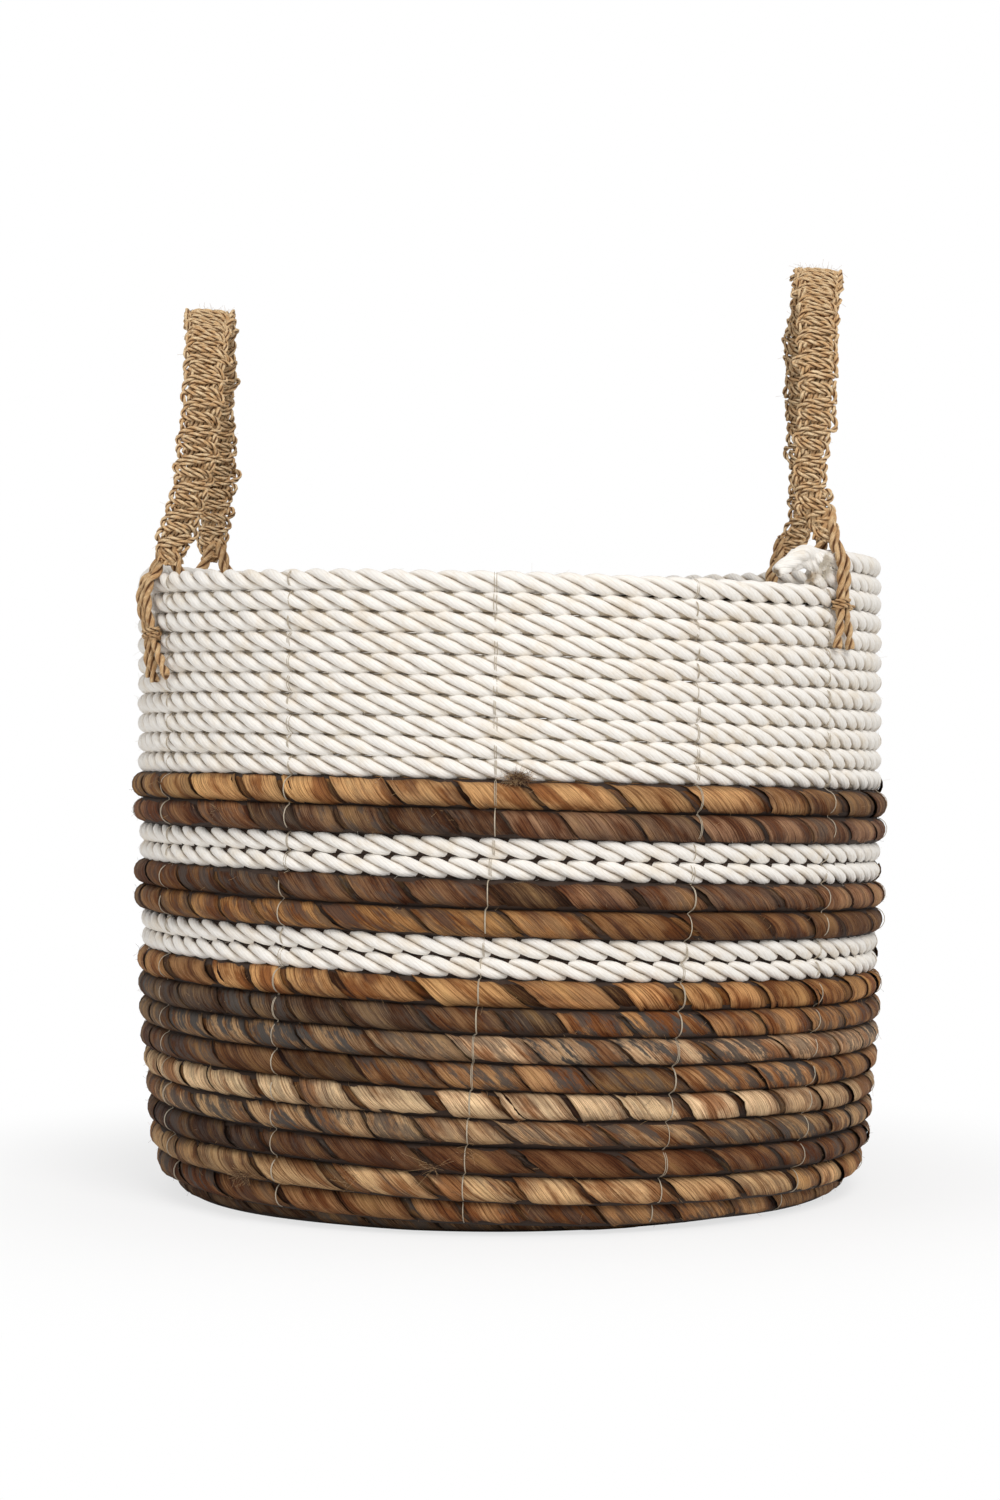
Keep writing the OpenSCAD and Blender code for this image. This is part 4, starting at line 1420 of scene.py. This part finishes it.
class BASKET_OT_lashings(bpy.types.Operator):
    """Lash the handles' feet over the rim and bind the lashings"""
    bl_idname = "basket.lashings"
    bl_label = "Lashings"

    def execute(self, context):
        sizes = context.scene.basket_jute
        half = sizes.lashing * 0.53
        for side, end in ((a, b) for a in ("left", "right") for b in ("front", "back")):
            name = side + "_" + end + "_lashing"
            foot = Foot(name)
            out = foot.reach
            arch = once("arch " + side, lambda: Arch(side))
            pivot = arch.at(np.array([0.0 if end == "front" else arch.length()]))[0][0]
            rise = pivot[2] - foot.top
            lanes, bound, spread_, fall, tails = LASHING_LOOKS[side]
            if end == "back":
                lanes, bound = tuple(-lane for lane in lanes), -bound
            paths = []
            for k, lane in enumerate(lanes):
                close = bound + (k - (len(lanes) - 1) / 2) * sizes.lashing * 0.8
                over = close + (lane - close) * 0.55
                tail, reach = tails[k]
                paths.append(curve_through(foot.place([
                    (0.5 * MM, lane * 0.15, rise + 13 * MM),
                    (2.5 * MM, lane * 0.3, rise + 5 * MM),
                    (out * 0.62, over, out * 0.95),
                    (out + spread_ * 0.5, lane, 1 * MM),
                    (out + spread_, lane, -12 * MM),
                    (out + 0.6 * MM, close, -fall),
                    (out + 1.2 * MM, close + reach * 0.35, -fall - tail * 0.35),
                    (out + 0.8 * MM, close + reach * 0.8, -fall - tail * 0.8),
                    (out + 0.3 * MM, close + reach, -fall - tail),
                ])))
            for way in (-1, 1):
                paths.append(curve_through(foot.place([
                    (-0.5 * MM, way * 1.5 * MM, rise + 11 * MM),
                    (-1.5 * MM, way * 2.0 * MM, rise + 4 * MM),
                    (-out * 0.62, way * half, out * 0.95),
                    (-out * 0.98, way * half, 1 * MM),
                    (-out, way * half, -7 * MM),
                ])))
            lashing = jute_piece(name + "_cords", paths, sizes.lashing, 19 * MM, 2.0 * MM, 9,
                                 LASHING_JUTE)
            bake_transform(lashing)
            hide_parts(name)
            turn = np.linspace(0, 1, 60)
            angle = turn * TURN * 2.2 + 0.8
            grip = (len(lanes) - 1) / 2 * sizes.lashing * 0.8 \
                + (sizes.lashing + sizes.binding) / 2 - 0.5 * MM
            around = np.stack([
                out + np.maximum((sizes.lashing + sizes.binding) / 2 * np.cos(angle), -3.2 * MM),
                bound + grip * np.sin(angle),
                (turn - 0.5) * 6 * MM - fall], -1)
            ends = [(out + 1 * MM, bound + 9 * MM, -fall - 1.5 * MM),
                    (out + 0.5 * MM, bound + 14 * MM, -fall - 0.5 * MM)]
            binding = jute_piece(side + "_" + end + "_binding_cord",
                                 [curve_through(foot.place(np.r_[ends[::-1], around]), 1.0 * MM)],
                                 sizes.binding, 9 * MM, 1.2 * MM, 7, LASHING_JUTE)
            seat(binding, "basket", "jute_cord", side + "_" + end + "_binding")
        return {"FINISHED"}


# ---------------------------------------------------------------- frame wires


class BASKET_OT_frame_wires(bpy.types.Operator):
    """Give the wire frame, which keeps its shape, its finish"""
    bl_idname = "basket.frame_wires"
    bl_label = "Wire frame"

    def execute(self, context):
        for node, obj in frame["nodes"].items():
            if node.startswith("frame_"):
                for slot in obj.material_slots:
                    slot.material = once("wire", wire_material)
        return {"FINISHED"}


class BASKET_OT_base_stitches(bpy.types.Operator):
    """Stitch the base to the spokes of the frame, one stitch over the wire at a time"""
    bl_idname = "basket.base_stitches"
    bl_label = "Base stitches"

    def execute(self, context):
        sizes = context.scene.basket_thread
        points = node_points("base_stitching")
        arc = np.radians(np.arange(0, 181, 20))[:, None]
        loops, left = [], np.ones(len(points), bool)
        while left.any():
            first = points[np.flatnonzero(left)[0]]
            near = left & (np.linalg.norm(points - first, axis=1) < 7 * MM)
            left &= ~near
            own = points[near]
            out = unit([*own.mean(0)[:2], 0])
            side = np.array([-out[1], out[0], 0])
            half = (own @ side).max() - (own @ side).min() - sizes.width
            foot = out * (own @ out).mean() + [0, 0, own[:, 2].min()]
            loops.append(foot + half / 2 * (np.cos(arc) * side + np.sin(arc) * UP))
        thread = cords("base_stitches", loops, plain("Pale thread"), {
            "Strands": 2, "Offset": sizes.width * 0.4, "Strand Width": sizes.width,
            "Lay": 4 * MM, "Step": 0.5 * MM, "Sides": 6})
        seat(thread, "basket", "nylon_thread", "base_stitching")
        return {"FINISHED"}


# ---------------------------------------------------------------- stage


def lamp(name, place, target, size, power):
    """Round soft lamp that shines at a target."""
    light = bpy.data.lights.new(name, "AREA")
    light.shape = "DISK"
    light.size = size
    light.energy = power
    obj = placed(name, light)
    obj.location = place
    obj.rotation_euler = (Vector(target) - Vector(place)).to_track_quat("-Z", "Y").to_euler()


FLOOR_WIDTH = 12.0


class BASKET_OT_stage(bpy.types.Operator):
    """Set the camera, the pale floor and the soft lamps"""
    bl_idname = "basket.stage"
    bl_label = "Stage"

    def execute(self, context):
        sizes = context.scene.basket_stage
        camera = bpy.data.cameras.new("Camera")
        camera.lens = sizes.lens
        camera.sensor_width = 36
        camera.clip_end = 50
        view = placed("Camera", camera)
        view.location = (-sizes.aside, -sizes.distance, sizes.height)
        view.rotation_euler = (math.radians(90) + sizes.tilt, 0, 0)
        context.scene.camera = view

        half = FLOOR_WIDTH / 2
        corners = [(-half, -half, 0), (half, -half, 0), (half, half, 0), (-half, half, 0)]
        mesh_object("floor", corners, [(0, 1, 2, 3)], floor_material())
        world = bpy.data.worlds.new("Studio")
        context.scene.world = world
        world.use_nodes = True
        tree = world.node_tree
        rays = put(tree, "ShaderNodeLightPath")
        seen = reckon(tree, "MAXIMUM", rays.outputs["Is Camera Ray"],
                      reckon(tree, "MAXIMUM", rays.outputs["Is Glossy Ray"],
                             rays.outputs["Is Transmission Ray"]))
        strength = put(tree, "ShaderNodeMapRange",
                       {"Value": seen, "To Min": sizes.ambient, "To Max": 1.0})
        feed(tree, tree.nodes["Background"],
             {"Color": (1, 1, 1, 1), "Strength": strength.outputs["Result"]})
        middle = (0, 0, 0.2)
        lamp("Key lamp", (0.7, -2.1, 2.1), middle, 1.5, sizes.key)
        lamp("Fill lamp", (-1.9, -1.4, 1.1), middle, 1.4, sizes.fill)
        context.scene.view_settings.view_transform = "Standard"
        return {"FINISHED"}


def floor_material():
    material, tree, surface = new_material("Pale floor")
    feed(tree, surface, {"Base Color": (0.95, 0.95, 0.95, 1), "Roughness": 0.9,
                         "Specular IOR Level": 0.0})
    far = spread(tree, vectors(tree, "LENGTH", object_place(tree)), 0.24, 0.5, 0.7, 1.0)
    seen = put(tree, "ShaderNodeLightPath").outputs["Is Camera Ray"]
    glow = put(tree, "ShaderNodeEmission", {"Strength": 1.0})
    mix = put(tree, "ShaderNodeMixShader", {0: reckon(tree, "MULTIPLY", far, seen),
                                            1: surface.outputs[0], 2: glow.outputs[0]})
    feed(tree, tree.nodes["Material Output"], {"Surface": mix.outputs[0]})
    return material


# ---------------------------------------------------------------- panel and running


OPERATORS = (
    BASKET_OT_stage, BASKET_OT_rope_courses, BASKET_OT_rope_fold, BASKET_OT_bark_courses,
    BASKET_OT_base_coil, BASKET_OT_stitches, BASKET_OT_handles, BASKET_OT_lashings,
    BASKET_OT_frame_wires, BASKET_OT_base_stitches, BASKET_OT_fibres,
)


class BASKET_PT_panel(bpy.types.Panel):
    """Sizes, colours and steps of the basket"""
    bl_idname = "BASKET_PT_panel"
    bl_label = "Laundry basket"
    bl_space_type = "VIEW_3D"
    bl_region_type = "UI"
    bl_category = "Basket"

    def draw(self, context):
        for name, group in PROPERTY_GROUPS.items():
            box = self.layout.box()
            box.label(text=group.__doc__)
            for key in group.__annotations__:
                box.prop(getattr(context.scene, name), key)
        for operator in OPERATORS:
            self.layout.operator(operator.bl_idname)


CLASSES = (*PROPERTY_GROUPS.values(), *OPERATORS, BASKET_PT_panel)


def register():
    for cls in CLASSES:
        bpy.utils.register_class(cls)
    for name, group in PROPERTY_GROUPS.items():
        setattr(bpy.types.Scene, name, bpy.props.PointerProperty(type=group))


def unregister():
    for name in PROPERTY_GROUPS:
        delattr(bpy.types.Scene, name)
    for cls in reversed(CLASSES):
        bpy.utils.unregister_class(cls)


def main():
    register()
    for operator in OPERATORS:
        getattr(bpy.ops.basket, operator.bl_idname.split(".")[1])()
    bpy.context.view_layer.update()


if __name__ == "__main__":
    main()
